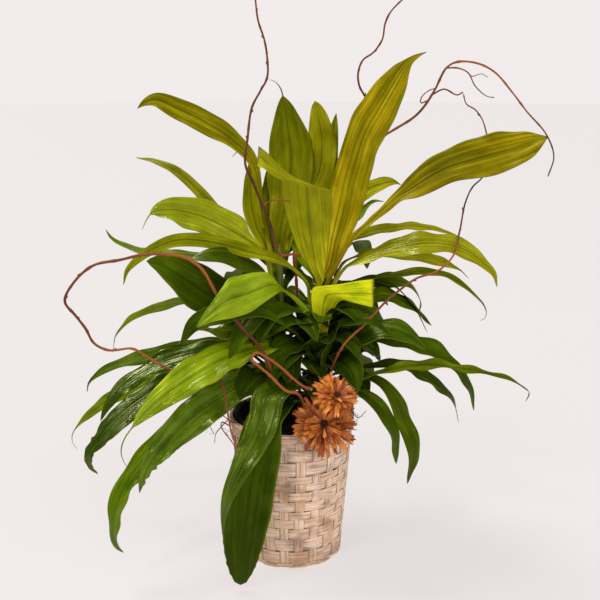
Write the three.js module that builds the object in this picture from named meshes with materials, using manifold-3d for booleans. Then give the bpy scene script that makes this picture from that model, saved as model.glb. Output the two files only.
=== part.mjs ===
// A potted corn plant in a whitewashed woven basket, dressed with willow twigs and two dried
// flowers. Millimetres, +Z up. The origin is the centre of the basket's underside; -Y is the front.

import * as THREE from "three";
import { mergeVertices } from "three/addons/utils/BufferGeometryUtils.js";
import Module from "manifold-3d";

const wasm = await Module();
wasm.setup();

const { degToRad, lerp, smoothstep } = THREE.MathUtils;

// Driving dimensions -----------------------------------------------------------------------

const GAP = 0.3;                      // clearance wherever two pieces touch
const SOCKET_GAP = 0.6;               // clearance of a bent twig or stalk in the soil
const ROUND_SEGMENTS = 36;
const UP = new THREE.Vector3(0, 0, 1);

const BASKET_HEIGHT = 268;
const BASKET_FOOT_RADIUS = 92;
const BASKET_MOUTH_RADIUS = 113.2;
const BASKET_WALL = 3.5;
const BASKET_FLOOR = 4;

const RIM_DEPTH = 16;
const RIM_INNER_DEPTH = 10;
const RIM_BAND = 1.4;

const LINER_SHEET = 0.8;
const LINER_HEIGHT = 250;

const POT_BASE_RADIUS = 78;
const POT_MOUTH_RADIUS = 100;
const POT_HEIGHT = 241;
const POT_WALL = 2;
const POT_LIP = 3.5;
const POT_LIP_DEPTH = 9;
const DRAIN_HOLES = 4;
const DRAIN_HOLE_RADIUS = 6;
const DRAIN_HOLE_CIRCLE = 48;
const DRAIN_HOLE_SIDES = 12;

const SOIL_BELOW_LIP = 8;
const SOIL_MOUND = 5;
const SOIL_SHOULDER = 0.6;            // share of the soil's radius where the mound bends down

const MOSS_INNER_RADIUS = 86;
const MOSS_OUTER_RADIUS = 106.5;
const MOSS_TOP = 266;
const MOSS_ROUNDING = 3;
const MOSS_SWELL = 9;                 // extra height at the left and the right of the mouth
const MOSS_TUFTS = 7;
const MOSS_TUFT_SHARE = 0.3;          // how much of the swell the tufts add or take away

const CANE_SIDES = 10;
const CANE_ROOT_HEIGHT = 120;         // how low a cane reaches in the soil
const CANE_ROOT_RADIUS = 9;
const CANE_TOP_RADIUS = 7.6;
const CANE_SLIM_HEIGHT = 500;         // above this a cane has its top radius
const CANE_SPEAR = 26;                // the rolled young leaf that ends a cane
const CANE_SPEAR_RADIUS = 1.2;

const LEAF_THICKNESS = 1;
const LEAF_STATIONS = 13;
const LEAF_NECK_WIDTH = 16;
const LEAF_NECK_LENGTH = 0.03;        // share of the length before the blade widens
const LEAF_NECK_END = 0.35;           // share of the length where the neck has run out
const LEAF_TIP_WIDTH = 1.6;
const LEAF_BASE_RISE = 0.8;           // a leaf leaves its cane upwards and a little outwards
const LEAF_BASE_REACH = 0.6;
const LEAF_BASE_LENGTH = 14;
const LEAF_PEAK_SHIFT = 1.1;          // above 1 moves the widest place towards the tip
const LEAF_FULLNESS = 0.75;
const LEAF_BASE_CHANNEL = 0.25;       // height of the margins over the midrib, per half width
const LEAF_BLADE_CHANNEL = 0.15;
const LEAF_ROLL_START = 0.1;          // shares of the length between which the blade rolls over
const LEAF_ROLL_END = 0.5;

const TWIG_SIDES = 6;
const TWIG_STEP = 18;
const TWIG_FIRST_NORMAL = new THREE.Vector3(0.3, 1, 0.1);

// Canes: name, place of the axis, height of the top ----------------------------------------

const CANES = {
  front: { x: 48, y: -5, top: 548 },
  left: { x: -22, y: 40, top: 575 },
  right: { x: 56, y: 44, top: 570 },
};

// Leaves: the cane, the bearing of the base around it (degrees, 0 is right and 90 is back), the
// height of the base, the greatest width, the roll of the blade about its midrib (degrees), and
// the points that the midrib passes through on its way to the tip. Some also have an outline, as
// [share of the length, share of the width], a twist, in degrees between two shares of the length,
// a peak above 1 that moves the widest place towards the tip, or a fullness below 1.

const LEAVES = [
  {
    name: "leaf_front_hanging_dark", cane: "front", bearing: 245, height: 264, width: 82, roll: -45,
    midrib: [
      [5, -62, 312], [-40, -118, 306], [-56, -140, 250], [-70, -152, 190], [-80, -162, 120],
      [-87, -168, 56], [-89, -164, 10],
    ],
  },
  {
    name: "leaf_front_hanging", cane: "front", bearing: 235, height: 288, width: 56, roll: -45,
    peak: 0.65, fullness: 1.2,
    midrib: [
      [12, -56, 338], [-11, -81, 345], [-38, -106, 341], [-44, -124, 313], [-54, -144, 286],
      [-69, -160, 260], [-84, -173, 237], [-97, -182, 212], [-107, -188, 185], [-113, -190, 158],
      [-115, -189, 131], [-115, -186, 106],
    ],
  },
  {
    name: "leaf_right_drooping", cane: "front", bearing: 320, height: 272, width: 30, roll: 35,
    midrib: [[98, -48, 320], [125, -60, 326], [160, -75, 300], [180, -85, 260], [185, -90, 205]],
  },
  {
    name: "leaf_right_long_low", cane: "front", bearing: 305, height: 298, width: 34, roll: 35,
    midrib: [
      [104, -44, 338], [165, -54, 366], [237, -64, 382], [282, -68, 378], [329, -70, 371],
      [373, -71, 359], [403, -71, 344], [417, -70, 331], [411, -70, 314],
    ],
  },
  {
    name: "leaf_right_twisted", cane: "front", bearing: 355, height: 280, width: 30, roll: 40,
    midrib: [
      [105, -20, 345], [155, -30, 340], [190, -40, 300], [200, -40, 270], [220, -50, 215],
      [210, -55, 150],
    ],
  },
  {
    name: "leaf_front_left_glossy", cane: "front", bearing: 205, height: 314, width: 60, roll: -60,
    midrib: [
      [-14, -24, 357], [-47, -42, 354], [-85, -66, 346], [-122, -92, 331], [-156, -118, 316],
      [-186, -142, 296], [-211, -164, 275], [-231, -181, 252], [-245, -194, 225], [-251, -200, 203],
    ],
  },
  {
    name: "leaf_front_left_bright", cane: "front", bearing: 200, height: 342, width: 68, roll: -50,
    midrib: [
      [1, -20, 386], [-35, -34, 404], [-73, -50, 405], [-114, -68, 396], [-157, -88, 378],
      [-197, -108, 356], [-234, -128, 331], [-263, -146, 303], [-281, -158, 279], [-285, -166, 261],
      [-281, -170, 247], [-273, -174, 236],
    ],
  },
  {
    name: "leaf_right_broad", cane: "front", bearing: 335, height: 345, width: 46, roll: 40,
    midrib: [[75, -25, 390], [115, -45, 425], [160, -60, 445], [205, -70, 435], [235, -75, 410]],
  },
  {
    name: "leaf_left_dark", cane: "front", bearing: 215, height: 362, width: 48, roll: -65,
    midrib: [
      [20, -25, 405], [-5, -40, 450], [-50, -55, 485], [-115, -75, 480], [-165, -85, 460],
      [-190, -90, 425],
    ],
  },
  {
    name: "leaf_front_flag", cane: "front", bearing: 300, height: 386, width: 52, roll: -10,
    outline: [[0, 0.3], [0.25, 0.5], [0.5, 0.75], [0.62, 0.3], [0.68, 0.25], [1, 1]],
    twist: [40, 0.55, 0.7],
    midrib: [[54, -26, 433], [50, -34, 475], [57, -42, 506], [92, -56, 512], [141, -76, 512]],
  },
  {
    name: "leaf_left_curled", cane: "left", bearing: 282, height: 394, width: 36, roll: -40,
    midrib: [
      [-24, 4, 414], [-54, -26, 424], [-90, -45, 434], [-122, -53, 438], [-172, -58, 441],
      [-197, -64, 418],
    ],
  },
  {
    name: "leaf_left_bright", cane: "front", bearing: 218, height: 448, width: 58, roll: -80,
    neck: 0.2, peak: 1.0, fullness: 1.0,
    midrib: [
      [3, -38, 498], [-19, -58, 526], [-49, -78, 530], [-81, -98, 519], [-111, -117, 503],
      [-135, -132, 487], [-154, -143, 475],
    ],
  },
  {
    name: "leaf_left_crown", cane: "front", bearing: 175, height: 466, width: 32, roll: -50,
    midrib: [
      [26, -15, 514], [-16, -24, 556], [-75, -30, 576], [-136, -34, 593], [-194, -40, 598],
      [-233, -48, 585], [-263, -56, 566], [-280, -62, 548], [-286, -66, 525],
    ],
  },
  {
    name: "leaf_right_arching", cane: "front", bearing: 340, height: 472, width: 46, roll: 45,
    midrib: [
      [95, -18, 543], [140, -30, 568], [183, -38, 584], [225, -44, 593], [264, -48, 592],
      [300, -50, 581], [328, -50, 561], [348, -50, 540], [355, -50, 517],
    ],
  },
  {
    name: "leaf_right_long", cane: "front", bearing: 5, height: 496, width: 68, roll: 50, neck: 0.34,
    peak: 1.3, fullness: 0.62,
    midrib: [
      [95, -10, 586], [129, -16, 616], [170, -22, 650], [206, -28, 684], [251, -36, 715],
      [313, -44, 738], [372, -50, 754], [404, -53, 764], [425, -55, 774],
    ],
  },
  {
    name: "leaf_top_folded", cane: "front", bearing: 250, height: 508, width: 90, roll: 10,
    outline: [
      [0, 0.25], [0.15, 0.35], [0.35, 0.62], [0.55, 1], [0.66, 0.85],
      [0.85, 0.5], [0.97, 0.25], [1, 0.02],
    ],
    twist: [70, 0.56, 0.72],
    midrib: [
      [47, -22, 519], [34, -34, 579], [25, -46, 642], [20, -54, 679], [2, -64, 704],
      [-23, -74, 730], [-44, -84, 754], [-55, -92, 755], [-54, -100, 730],
    ],
  },
  {
    name: "leaf_top_tall", cane: "front", bearing: 90, height: 516, width: 68, roll: 0,
    midrib: [[62, 15, 560], [95, 20, 645], [130, 35, 755], [175, 60, 845], [235, 85, 910]],
  },
  {
    name: "leaf_back_right_low", cane: "right", bearing: 0, height: 290, width: 38, roll: 35,
    midrib: [[145, 60, 335], [215, 80, 330], [275, 100, 290], [315, 115, 245], [330, 125, 195]],
  },
  {
    name: "leaf_back_right_dark", cane: "right", bearing: 340, height: 345, width: 46, roll: 35,
    midrib: [
      [105, 38, 388], [170, 30, 398], [245, 20, 388], [290, 10, 360], [325, 5, 315], [335, 0, 270],
    ],
  },
  {
    name: "leaf_back_low", cane: "right", bearing: 90, height: 318, width: 50, roll: 0,
    midrib: [[85, 110, 370], [105, 175, 385], [120, 245, 355], [125, 300, 290], [125, 325, 225]],
  },
  {
    name: "leaf_back_right_pointed", cane: "right", bearing: 325, height: 415, width: 42, roll: 60,
    midrib: [[125, 45, 465], [175, 65, 472], [220, 80, 450], [265, 95, 405]],
  },
  {
    name: "leaf_back_right_short", cane: "right", bearing: 25, height: 438, width: 34, roll: 35,
    midrib: [
      [110, 70, 478], [155, 90, 492], [200, 115, 488], [235, 140, 465], [250, 155, 435],
      [248, 160, 412],
    ],
  },
  {
    name: "leaf_back_right_olive", cane: "right", bearing: 355, height: 478, width: 34, roll: 45,
    midrib: [
      [97, 50, 539], [139, 58, 551], [186, 70, 553], [228, 84, 544], [273, 100, 530],
      [314, 118, 511], [338, 130, 488],
    ],
  },
  {
    name: "leaf_back_middle", cane: "right", bearing: 110, height: 462, width: 52, roll: 0,
    midrib: [[55, 95, 530], [55, 150, 585], [60, 215, 590], [65, 275, 545], [65, 310, 480]],
  },
  {
    name: "leaf_back_right_thin", cane: "right", bearing: 30, height: 508, width: 28, roll: 30,
    midrib: [
      [88, 70, 561], [130, 95, 582], [180, 125, 587], [230, 150, 586], [278, 175, 576],
      [327, 200, 557],
    ],
  },
  {
    name: "leaf_back_right_small", cane: "right", bearing: 60, height: 530, width: 36, roll: 20,
    peak: 1.5,
    midrib: [
      [82, 72, 598], [101, 92, 635], [130, 115, 657], [163, 138, 668], [192, 156, 671],
      [207, 168, 663],
    ],
  },
  {
    name: "leaf_back_spike", cane: "right", bearing: 120, height: 536, width: 38, roll: -20,
    midrib: [[56, 72, 590], [62, 90, 650], [72, 120, 735], [82, 150, 798]],
  },
  {
    name: "leaf_left_front_long", cane: "left", bearing: 235, height: 270, width: 40, roll: -50,
    peak: 1.2,
    midrib: [
      [-66, -18, 329], [-119, -40, 314], [-169, -62, 294], [-210, -84, 267], [-243, -104, 238],
      [-271, -122, 208], [-293, -138, 172], [-305, -149, 133], [-308, -154, 103], [-302, -156, 79],
      [-291, -156, 68],
    ],
  },
  {
    name: "leaf_left_ragged_dark", cane: "left", bearing: 212, height: 296, width: 50, roll: -50,
    midrib: [
      [-108, -10, 349], [-173, -28, 345], [-225, -45, 333], [-270, -62, 309], [-309, -78, 279],
      [-340, -90, 249], [-355, -98, 226], [-354, -101, 208], [-340, -102, 191],
    ],
  },
  {
    name: "leaf_left_pale", cane: "left", bearing: 165, height: 285, width: 36, roll: -50,
    midrib: [
      [-86, 52, 327], [-155, 65, 331], [-223, 80, 319], [-278, 95, 298], [-340, 112, 261],
      [-384, 128, 228], [-421, 140, 193], [-444, 150, 161], [-446, 155, 140], [-437, 160, 122],
    ],
  },
  {
    name: "leaf_left_low", cane: "left", bearing: 200, height: 322, width: 42, roll: -55,
    midrib: [
      [-90, 24, 380], [-140, 18, 383], [-189, 10, 376], [-239, 0, 361], [-281, -15, 341],
      [-310, -30, 320], [-330, -40, 295], [-343, -45, 268],
    ],
  },
  {
    name: "leaf_left_long", cane: "left", bearing: 180, height: 346, width: 32, roll: -50,
    midrib: [
      [-80, 45, 386], [-130, 54, 387], [-191, 64, 373], [-265, 76, 353], [-328, 86, 333],
      [-371, 92, 311], [-392, 95, 290], [-397, 95, 270],
    ],
  },
  {
    name: "leaf_left_broad_dark", cane: "left", bearing: 228, height: 366, width: 82, roll: -80,
    peak: 1.3,
    midrib: [
      [-61, 15, 415], [-100, -15, 466], [-150, -42, 508], [-190, -60, 541], [-222, -72, 563],
      [-243, -80, 570],
    ],
  },
  {
    name: "leaf_left_middle", cane: "left", bearing: 178, height: 420, width: 32, roll: -40,
    midrib: [
      [-75, 50, 465], [-150, 70, 465], [-240, 95, 445], [-305, 115, 415], [-340, 125, 380],
      [-350, 130, 340],
    ],
  },
  {
    name: "leaf_back_left", cane: "left", bearing: 130, height: 392, width: 50, roll: 0,
    midrib: [[-50, 85, 450], [-75, 145, 490], [-105, 210, 480], [-130, 265, 425], [-140, 295, 355]],
  },
  {
    name: "leaf_left_twisted", cane: "left", bearing: 190, height: 468, width: 20, roll: -60,
    midrib: [
      [-54, 48, 515], [-109, 62, 536], [-179, 85, 542], [-238, 108, 543], [-287, 125, 545],
      [-324, 142, 553], [-347, 155, 564], [-359, 168, 577],
    ],
  },
  {
    name: "leaf_left_glossy", cane: "left", bearing: 215, height: 492, width: 64, roll: -85,
    peak: 1.5, fullness: 0.6,
    midrib: [
      [-53, 22, 564], [-91, 12, 595], [-129, 4, 619], [-169, -5, 637], [-213, -14, 646],
      [-240, -20, 641], [-250, -24, 628], [-257, -27, 613],
    ],
  },
  {
    name: "leaf_left_upright", cane: "left", bearing: 150, height: 518, width: 36, roll: -40,
    midrib: [
      [-47, 60, 567], [-64, 76, 597], [-74, 90, 635], [-77, 102, 677], [-76, 112, 713],
      [-82, 120, 737], [-95, 122, 735], [-110, 122, 721],
    ],
  },
  {
    name: "leaf_left_behind", cane: "left", bearing: 120, height: 500, width: 56, roll: 0,
    midrib: [[-28, 82, 545], [-33, 106, 605], [-35, 130, 670], [-31, 142, 722]],
  },
  {
    name: "leaf_left_thin", cane: "left", bearing: 160, height: 508, width: 28, roll: -60,
    peak: 1.0,
    midrib: [
      [-51, 62, 557], [-100, 92, 583], [-145, 120, 624], [-173, 140, 653], [-209, 165, 682],
      [-253, 190, 702], [-304, 225, 708],
    ],
  },
  {
    name: "leaf_left_high", cane: "left", bearing: 165, height: 534, width: 42, roll: -60,
    peak: 2.2, fullness: 0.95,
    midrib: [
      [-47, 62, 592], [-56, 72, 656], [-71, 78, 720], [-107, 86, 757], [-156, 94, 787],
      [-204, 101, 809], [-244, 106, 825], [-266, 109, 819], [-279, 112, 809],
    ],
  },
  {
    name: "leaf_top_dark", cane: "left", bearing: 95, height: 545, width: 84, roll: 0,
    peak: 1.2,
    midrib: [
      [-19, 58, 604], [-7, 80, 657], [-1, 100, 718], [-7, 116, 774], [-15, 130, 822],
      [-20, 136, 843], [-31, 139, 856], [-41, 140, 859],
    ],
  },
  {
    name: "leaf_top_back", cane: "left", bearing: 40, height: 528, width: 60, roll: 30,
    peak: 1.4, fullness: 0.6,
    midrib: [
      [1, 60, 603], [26, 80, 648], [50, 98, 700], [55, 112, 744], [50, 126, 788], [42, 138, 821],
    ],
  },
];

// Willow twigs: the route from the soil up, its radius at both ends, and its side twigs ----------

const TWIGS = [
  {
    name: "willow_loop_left", rootRadius: 3.2, tipRadius: 1.6,
    route: [
      [-24, -46, 205], [-25, -48, 265], [-27, -54, 330], [-34, -68, 368], [-42, -80, 396],
      [-58, -90, 428], [-84, -94, 458], [-104, -98, 486], [-124, -97, 515], [-148, -94, 558],
      [-170, -93, 576], [-200, -95, 584], [-240, -97, 585], [-285, -95, 575], [-330, -93, 565],
      [-365, -90, 535], [-382, -90, 502], [-365, -92, 478], [-348, -95, 455], [-335, -100, 432],
      [-310, -103, 420], [-270, -98, 421], [-245, -88, 402], [-215, -80, 380], [-186, -77, 364],
      [-160, -78, 360], [-138, -82, 371], [-119, -98, 360], [-110, -132, 338], [-105, -144, 312],
      [-100, -150, 288], [-90, -160, 262], [-86, -166, 240],
    ],
    branches: [],
  },
  {
    name: "willow_tall_left", rootRadius: 3.2, tipRadius: 1.5,
    route: [
      [12, 16, 205], [14, 14, 300], [12, 14, 400], [10, 12, 470], [8, 8, 524], [6, -16, 560],
      [14, -48, 574], [4, -72, 580], [-20, -82, 582], [-35, -82, 635], [-50, -80, 670],
      [-62, -75, 700], [-75, -70, 730], [-72, -50, 770], [-65, -30, 820], [-52, -15, 845],
      [-40, -5, 868], [-40, 5, 900], [-45, 10, 930], [-55, 15, 960], [-60, 20, 1000],
    ],
    branches: [],
  },
  {
    name: "willow_tall_right", rootRadius: 3.2, tipRadius: 1.4,
    route: [
      [26, 70, 205], [28, 73, 265], [45, 90, 340], [70, 116, 430], [88, 124, 540], [94, 118, 630],
      [110, 98, 690], [132, 72, 738], [134, 62, 800], [130, 60, 830], [119, 60, 850], [116, 60, 872],
      [124, 60, 895], [142, 60, 908], [157, 60, 930], [161, 60, 955], [170, 60, 975], [197, 60, 1002],
    ],
    branches: [
      {
        rootRadius: 2.4, tipRadius: 1.1,
        route: [
          [131, 70, 735], [155, 72, 758], [182, 70, 775], [215, 62, 797], [232, 60, 815],
          [250, 56, 845], [268, 52, 882], [285, 50, 892], [320, 46, 890], [350, 40, 875],
          [382, 35, 840], [406, 30, 810], [442, 26, 770], [457, 25, 732], [449, 25, 698],
        ],
      },
    ],
  },
  {
    name: "willow_thin_right", rootRadius: 2.4, tipRadius: 1,
    route: [
      [62, -34, 205], [63, -38, 265], [68, -52, 355], [90, -75, 420], [130, -84, 465], [160, -84, 500],
      [182, -80, 518], [212, -80, 540], [245, -82, 552], [272, -72, 575], [290, -30, 615],
      [303, 5, 655], [315, 8, 682], [332, 8, 700], [342, 8, 740], [337, 20, 772], [330, 26, 795],
      [318, 30, 812], [302, 32, 822], [296, 34, 840],
    ],
    branches: [],
  },
  {
    name: "willow_hairpin_front", rootRadius: 2.6, tipRadius: 2.4,
    route: [
      [28, -72, 205], [28, -76, 268], [24, -88, 304], [18, -91, 327], [8, -108, 345], [-8, -113, 350],
      [-37, -112, 379], [-54, -112, 394], [-67, -110, 407], [-60, -106, 417], [-44, -102, 408],
      [-20, -99, 390], [0, -97, 370], [20, -96, 353], [36, -95, 346],
    ],
    branches: [],
  },
];

// Dried flowers: the middle, the way it faces, its radius, its rings of petals, and its stalk ----

const PETAL_RINGS = [
  { count: 13, reach: 1, width: 0.28, lift: -0.12, floor: 0 },
  { count: 9, reach: 0.66, width: 0.3, lift: 0.3, floor: 2 },
];
const PETAL_STATIONS = [0.05, 0.5, 1];
const PETAL_ROOT_WIDTH = 0.45;        // share of the width at the blunt end
const PETAL_THICKNESS = 1.2;
const FLOWER_HEART = 0.17;            // shares of the flower's radius
const FLOWER_HEART_DEPTH = 0.1;
const STALK_RADIUS = 2;
const STALK_STEP = 30;

const FLOWERS = [
  {
    name: "dried_flower_low", middle: [56, -125, 295], facing: [-0.05, -0.88, 0.45], radius: 58,
    stalk: [[46, -58, 205], [48, -62, 265], [54, -86, 288], [56, -125, 295]],
  },
  {
    name: "dried_flower_high", middle: [77, -135, 351], facing: [0.3, -0.85, 0.5], radius: 47,
    stalk: [[58, -50, 205], [60, -53, 265], [64, -63, 315], [69, -88, 353], [77, -135, 351]],
  },
];

// Colours, roughness ------------------------------------------------------------------------

const FINISHES = {
  splint: { color: 0xcdb49c, roughness: 0.85 },
  liner: { color: 0xb9c2bd, roughness: 0.4 },
  pot: { color: 0x1d1f1d, roughness: 0.6 },
  soil: { color: 0x2c2018, roughness: 1 },
  moss: { color: 0x4a4128, roughness: 1 },
  cane: { color: 0x7f9a3a, roughness: 0.5 },
  leaf: { color: 0x4f7f24, roughness: 0.35 },
  willow: { color: 0x6b3020, roughness: 0.6 },
  petal: { color: 0xa9532a, roughness: 0.75 },
};

// Solids ----------------------------------------------------------------------------------------

function vector([x, y, z]) {
  return new THREE.Vector3(x, y, z);
}

function signedVolume(geometry) {
  const position = geometry.getAttribute("position");
  const index = geometry.getIndex();
  const a = new THREE.Vector3();
  const b = new THREE.Vector3();
  const c = new THREE.Vector3();
  let sum = 0;
  for (let corner = 0; corner < index.count; corner += 3) {
    a.fromBufferAttribute(position, index.getX(corner));
    b.fromBufferAttribute(position, index.getX(corner + 1));
    c.fromBufferAttribute(position, index.getX(corner + 2));
    sum += a.dot(b.cross(c)) / 6;
  }
  return sum;
}

// Shares equal vertices, drops triangles without area and turns every face outwards.
function closedGeometry(geometry) {
  const bare = geometry.clone();
  bare.deleteAttribute("normal");
  bare.deleteAttribute("uv");
  const merged = mergeVertices(bare, 1e-3);
  const corners = [];
  const source = merged.getIndex();
  for (let corner = 0; corner < source.count; corner += 3) {
    const triangle = [source.getX(corner), source.getX(corner + 1), source.getX(corner + 2)];
    if (new Set(triangle).size === 3) {
      corners.push(...triangle);
    }
  }
  merged.setIndex(corners);
  if (signedVolume(merged) < 0) {
    merged.setIndex(corners.reverse());
  }
  return merged;
}

function toManifold(geometry) {
  const closed = closedGeometry(geometry);
  return new wasm.Manifold(new wasm.Mesh({
    numProp: 3,
    vertProperties: new Float32Array(closed.getAttribute("position").array),
    triVerts: new Uint32Array(closed.getIndex().array),
  }));
}

function fromManifold(solid) {
  const mesh = solid.getMesh();
  const geometry = new THREE.BufferGeometry();
  geometry.setAttribute("position", new THREE.BufferAttribute(mesh.vertProperties, 3));
  geometry.setIndex(new THREE.BufferAttribute(mesh.triVerts, 1));
  return geometry;
}

// A solid of revolution about Z from a profile of [radius, height] points.
function turned(profile, segments = ROUND_SEGMENTS) {
  const points = profile.map(([radius, height]) => new THREE.Vector2(radius, height));
  return closedGeometry(new THREE.LatheGeometry(points, segments).rotateX(Math.PI / 2));
}

// A solid ring about Z: the same, with a profile that closes on itself.
function turnedRing(profile, segments = ROUND_SEGMENTS) {
  return turned([...profile, profile[0]], segments);
}

// Joins equal rings of points into one closed solid; cap lists the triangles of an end ring, and
// crossed says which sides split their faces along the other diagonal.
function loft(rings, cap, crossed = () => false) {
  const sides = rings[0].length;
  const last = (rings.length - 1) * sides;
  const index = [];
  for (let start = 0; start < last; start += sides) {
    for (let side = 0; side < sides; side += 1) {
      const a = start + side;
      const b = start + ((side + 1) % sides);
      if (crossed(side)) {
        index.push(a, b, a + sides, b, b + sides, a + sides);
      } else {
        index.push(a, b, b + sides, a, b + sides, a + sides);
      }
    }
  }
  for (const [a, b, c] of cap) {
    index.push(a, c, b, last + a, last + b, last + c);
  }
  const geometry = new THREE.BufferGeometry();
  geometry.setFromPoints(rings.flat());
  geometry.setIndex(index);
  return closedGeometry(geometry);
}

function smoothCurve(points) {
  return new THREE.CatmullRomCurve3(points, false, "centripetal");
}

// Frames along a curve that carry the first normal forward without turning it about the curve.
function carriedFrames(curve, stations, firstNormal) {
  const frames = [];
  const turn = new THREE.Quaternion();
  let normal = firstNormal.clone();
  let lastTangent = null;
  for (let station = 0; station < stations; station += 1) {
    const along = station / (stations - 1);
    const tangent = curve.getTangentAt(along);
    if (lastTangent) {
      normal.applyQuaternion(turn.setFromUnitVectors(lastTangent, tangent));
    }
    normal = normal.addScaledVector(tangent, -normal.dot(tangent)).normalize();
    frames.push({ along, point: curve.getPointAt(along), tangent, normal: normal.clone() });
    lastTangent = tangent;
  }
  return frames;
}

// A round rod along a route, with a radius that runs evenly from root to tip.
function rod(route, rootRadius, tipRadius, step = TWIG_STEP) {
  const curve = smoothCurve(route.map(vector));
  const stations = Math.max(4, Math.round(curve.getLength() / step)) + 1;
  const rings = carriedFrames(curve, stations, TWIG_FIRST_NORMAL).map((frame) => {
    const side = new THREE.Vector3().crossVectors(frame.normal, frame.tangent);
    const radius = lerp(rootRadius, tipRadius, frame.along);
    return Array.from({ length: TWIG_SIDES }, (_, corner) => {
      const angle = (2 * Math.PI * corner) / TWIG_SIDES;
      return frame.point.clone()
        .addScaledVector(side, radius * Math.cos(angle))
        .addScaledVector(frame.normal, radius * Math.sin(angle));
    });
  });
  const cap = [];
  for (let corner = 1; corner + 1 < TWIG_SIDES; corner += 1) {
    cap.push([0, corner, corner + 1]);
  }
  return loft(rings, cap);
}

// Basket, liner, grow pot ---------------------------------------------------------------------

const WALL_TOP = BASKET_HEIGHT - RIM_BAND - GAP;

function wallRadius(height) {
  return lerp(BASKET_FOOT_RADIUS, BASKET_MOUTH_RADIUS, height / WALL_TOP);
}

function basketWall() {
  return turnedRing([
    [wallRadius(0), 0],
    [wallRadius(WALL_TOP), WALL_TOP],
    [wallRadius(WALL_TOP) - BASKET_WALL, WALL_TOP],
    [wallRadius(0) - BASKET_WALL, 0],
  ]);
}

function basketFloor() {
  const radius = BASKET_FOOT_RADIUS - BASKET_WALL - GAP;
  return turned([[0, 0], [radius, 0], [radius, BASKET_FLOOR], [0, BASKET_FLOOR]]);
}

function basketRim() {
  const outerFoot = BASKET_HEIGHT - RIM_DEPTH;
  const innerFoot = BASKET_HEIGHT - RIM_INNER_DEPTH;
  const outer = (height) => wallRadius(height) + GAP;
  const inner = wallRadius(innerFoot) - BASKET_WALL - GAP;
  return turnedRing([
    [outer(outerFoot), outerFoot],
    [outer(outerFoot) + RIM_BAND, outerFoot],
    [outer(WALL_TOP) + RIM_BAND, BASKET_HEIGHT],
    [inner - RIM_BAND, BASKET_HEIGHT],
    [inner - RIM_BAND, innerFoot],
    [inner, innerFoot],
    [inner, WALL_TOP + GAP],
    [outer(WALL_TOP), WALL_TOP + GAP],
  ]);
}

const LINER_FLOOR = BASKET_FLOOR + GAP;

function plasticLiner() {
  const outer = (height) => wallRadius(height) - BASKET_WALL - 2 * GAP;
  const top = LINER_FLOOR + LINER_HEIGHT;
  return turned([
    [0, LINER_FLOOR],
    [outer(LINER_FLOOR), LINER_FLOOR],
    [outer(top), top],
    [outer(top) - LINER_SHEET, top],
    [outer(LINER_FLOOR) - LINER_SHEET, LINER_FLOOR + LINER_SHEET],
    [0, LINER_FLOOR + LINER_SHEET],
  ]);
}

const POT_FLOOR = LINER_FLOOR + LINER_SHEET + GAP;
const POT_TOP = POT_FLOOR + POT_HEIGHT;

function potRadius(height) {
  return lerp(POT_BASE_RADIUS, POT_MOUTH_RADIUS, (height - POT_FLOOR) / POT_HEIGHT);
}

function growPot() {
  const lipFoot = POT_TOP - POT_LIP_DEPTH;
  const shell = turned([
    [0, POT_FLOOR],
    [potRadius(POT_FLOOR), POT_FLOOR],
    [potRadius(lipFoot), lipFoot],
    [potRadius(lipFoot) + POT_LIP, lipFoot],
    [potRadius(POT_TOP) + POT_LIP, POT_TOP],
    [potRadius(POT_TOP) - POT_WALL, POT_TOP],
    [potRadius(POT_FLOOR) - POT_WALL, POT_FLOOR + POT_WALL],
    [0, POT_FLOOR + POT_WALL],
  ]);
  let pot = toManifold(shell);
  for (let hole = 0; hole < DRAIN_HOLES; hole += 1) {
    const angle = (2 * Math.PI * hole) / DRAIN_HOLES + Math.PI / DRAIN_HOLES;
    const drill = new THREE.CylinderGeometry(
      DRAIN_HOLE_RADIUS, DRAIN_HOLE_RADIUS, 4 * POT_WALL, DRAIN_HOLE_SIDES,
    );
    drill.rotateX(Math.PI / 2);
    drill.translate(DRAIN_HOLE_CIRCLE * Math.cos(angle), DRAIN_HOLE_CIRCLE * Math.sin(angle), POT_FLOOR);
    pot = pot.subtract(toManifold(drill));
  }
  return fromManifold(pot);
}

// Plant -----------------------------------------------------------------------------------------

function caneRadius(height) {
  return lerp(CANE_ROOT_RADIUS, CANE_TOP_RADIUS, smoothstep(height, CANE_ROOT_HEIGHT, CANE_SLIM_HEIGHT));
}

function caneSolid(cane, clearance = 0) {
  const foot = CANE_ROOT_HEIGHT - clearance;
  const shoulder = cane.top - CANE_SPEAR;
  return turned([
    [0, foot],
    [caneRadius(CANE_ROOT_HEIGHT) + clearance, foot],
    [caneRadius(shoulder) + clearance, shoulder],
    [CANE_SPEAR_RADIUS + clearance, cane.top],
    [0, cane.top],
  ], CANE_SIDES).translate(cane.x, cane.y, 0);
}

// The value at a place in a table of [place, value] rows.
function between(table, place) {
  const next = Math.max(1, table.findIndex(([at]) => at >= place));
  const [[start, first], [stop, last]] = table.slice(next - 1, next + 1);
  return lerp(first, last, (place - start) / (stop - start));
}

function leafHalfWidth(leaf, along) {
  const neckLength = leaf.neck ?? LEAF_NECK_LENGTH;
  const blown = THREE.MathUtils.clamp((along - neckLength) / (1 - neckLength), 0, 1);
  const arch = Math.sin(Math.PI * blown ** (leaf.peak ?? LEAF_PEAK_SHIFT));
  const blade = arch ** (leaf.fullness ?? LEAF_FULLNESS) || 0;
  const share = leaf.outline ? between(leaf.outline, along) : blade;
  const neck = LEAF_NECK_WIDTH * (1 - smoothstep(along, 0, LEAF_NECK_END));
  return Math.max(leaf.width * share, neck, LEAF_TIP_WIDTH) / 2;
}

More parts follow.
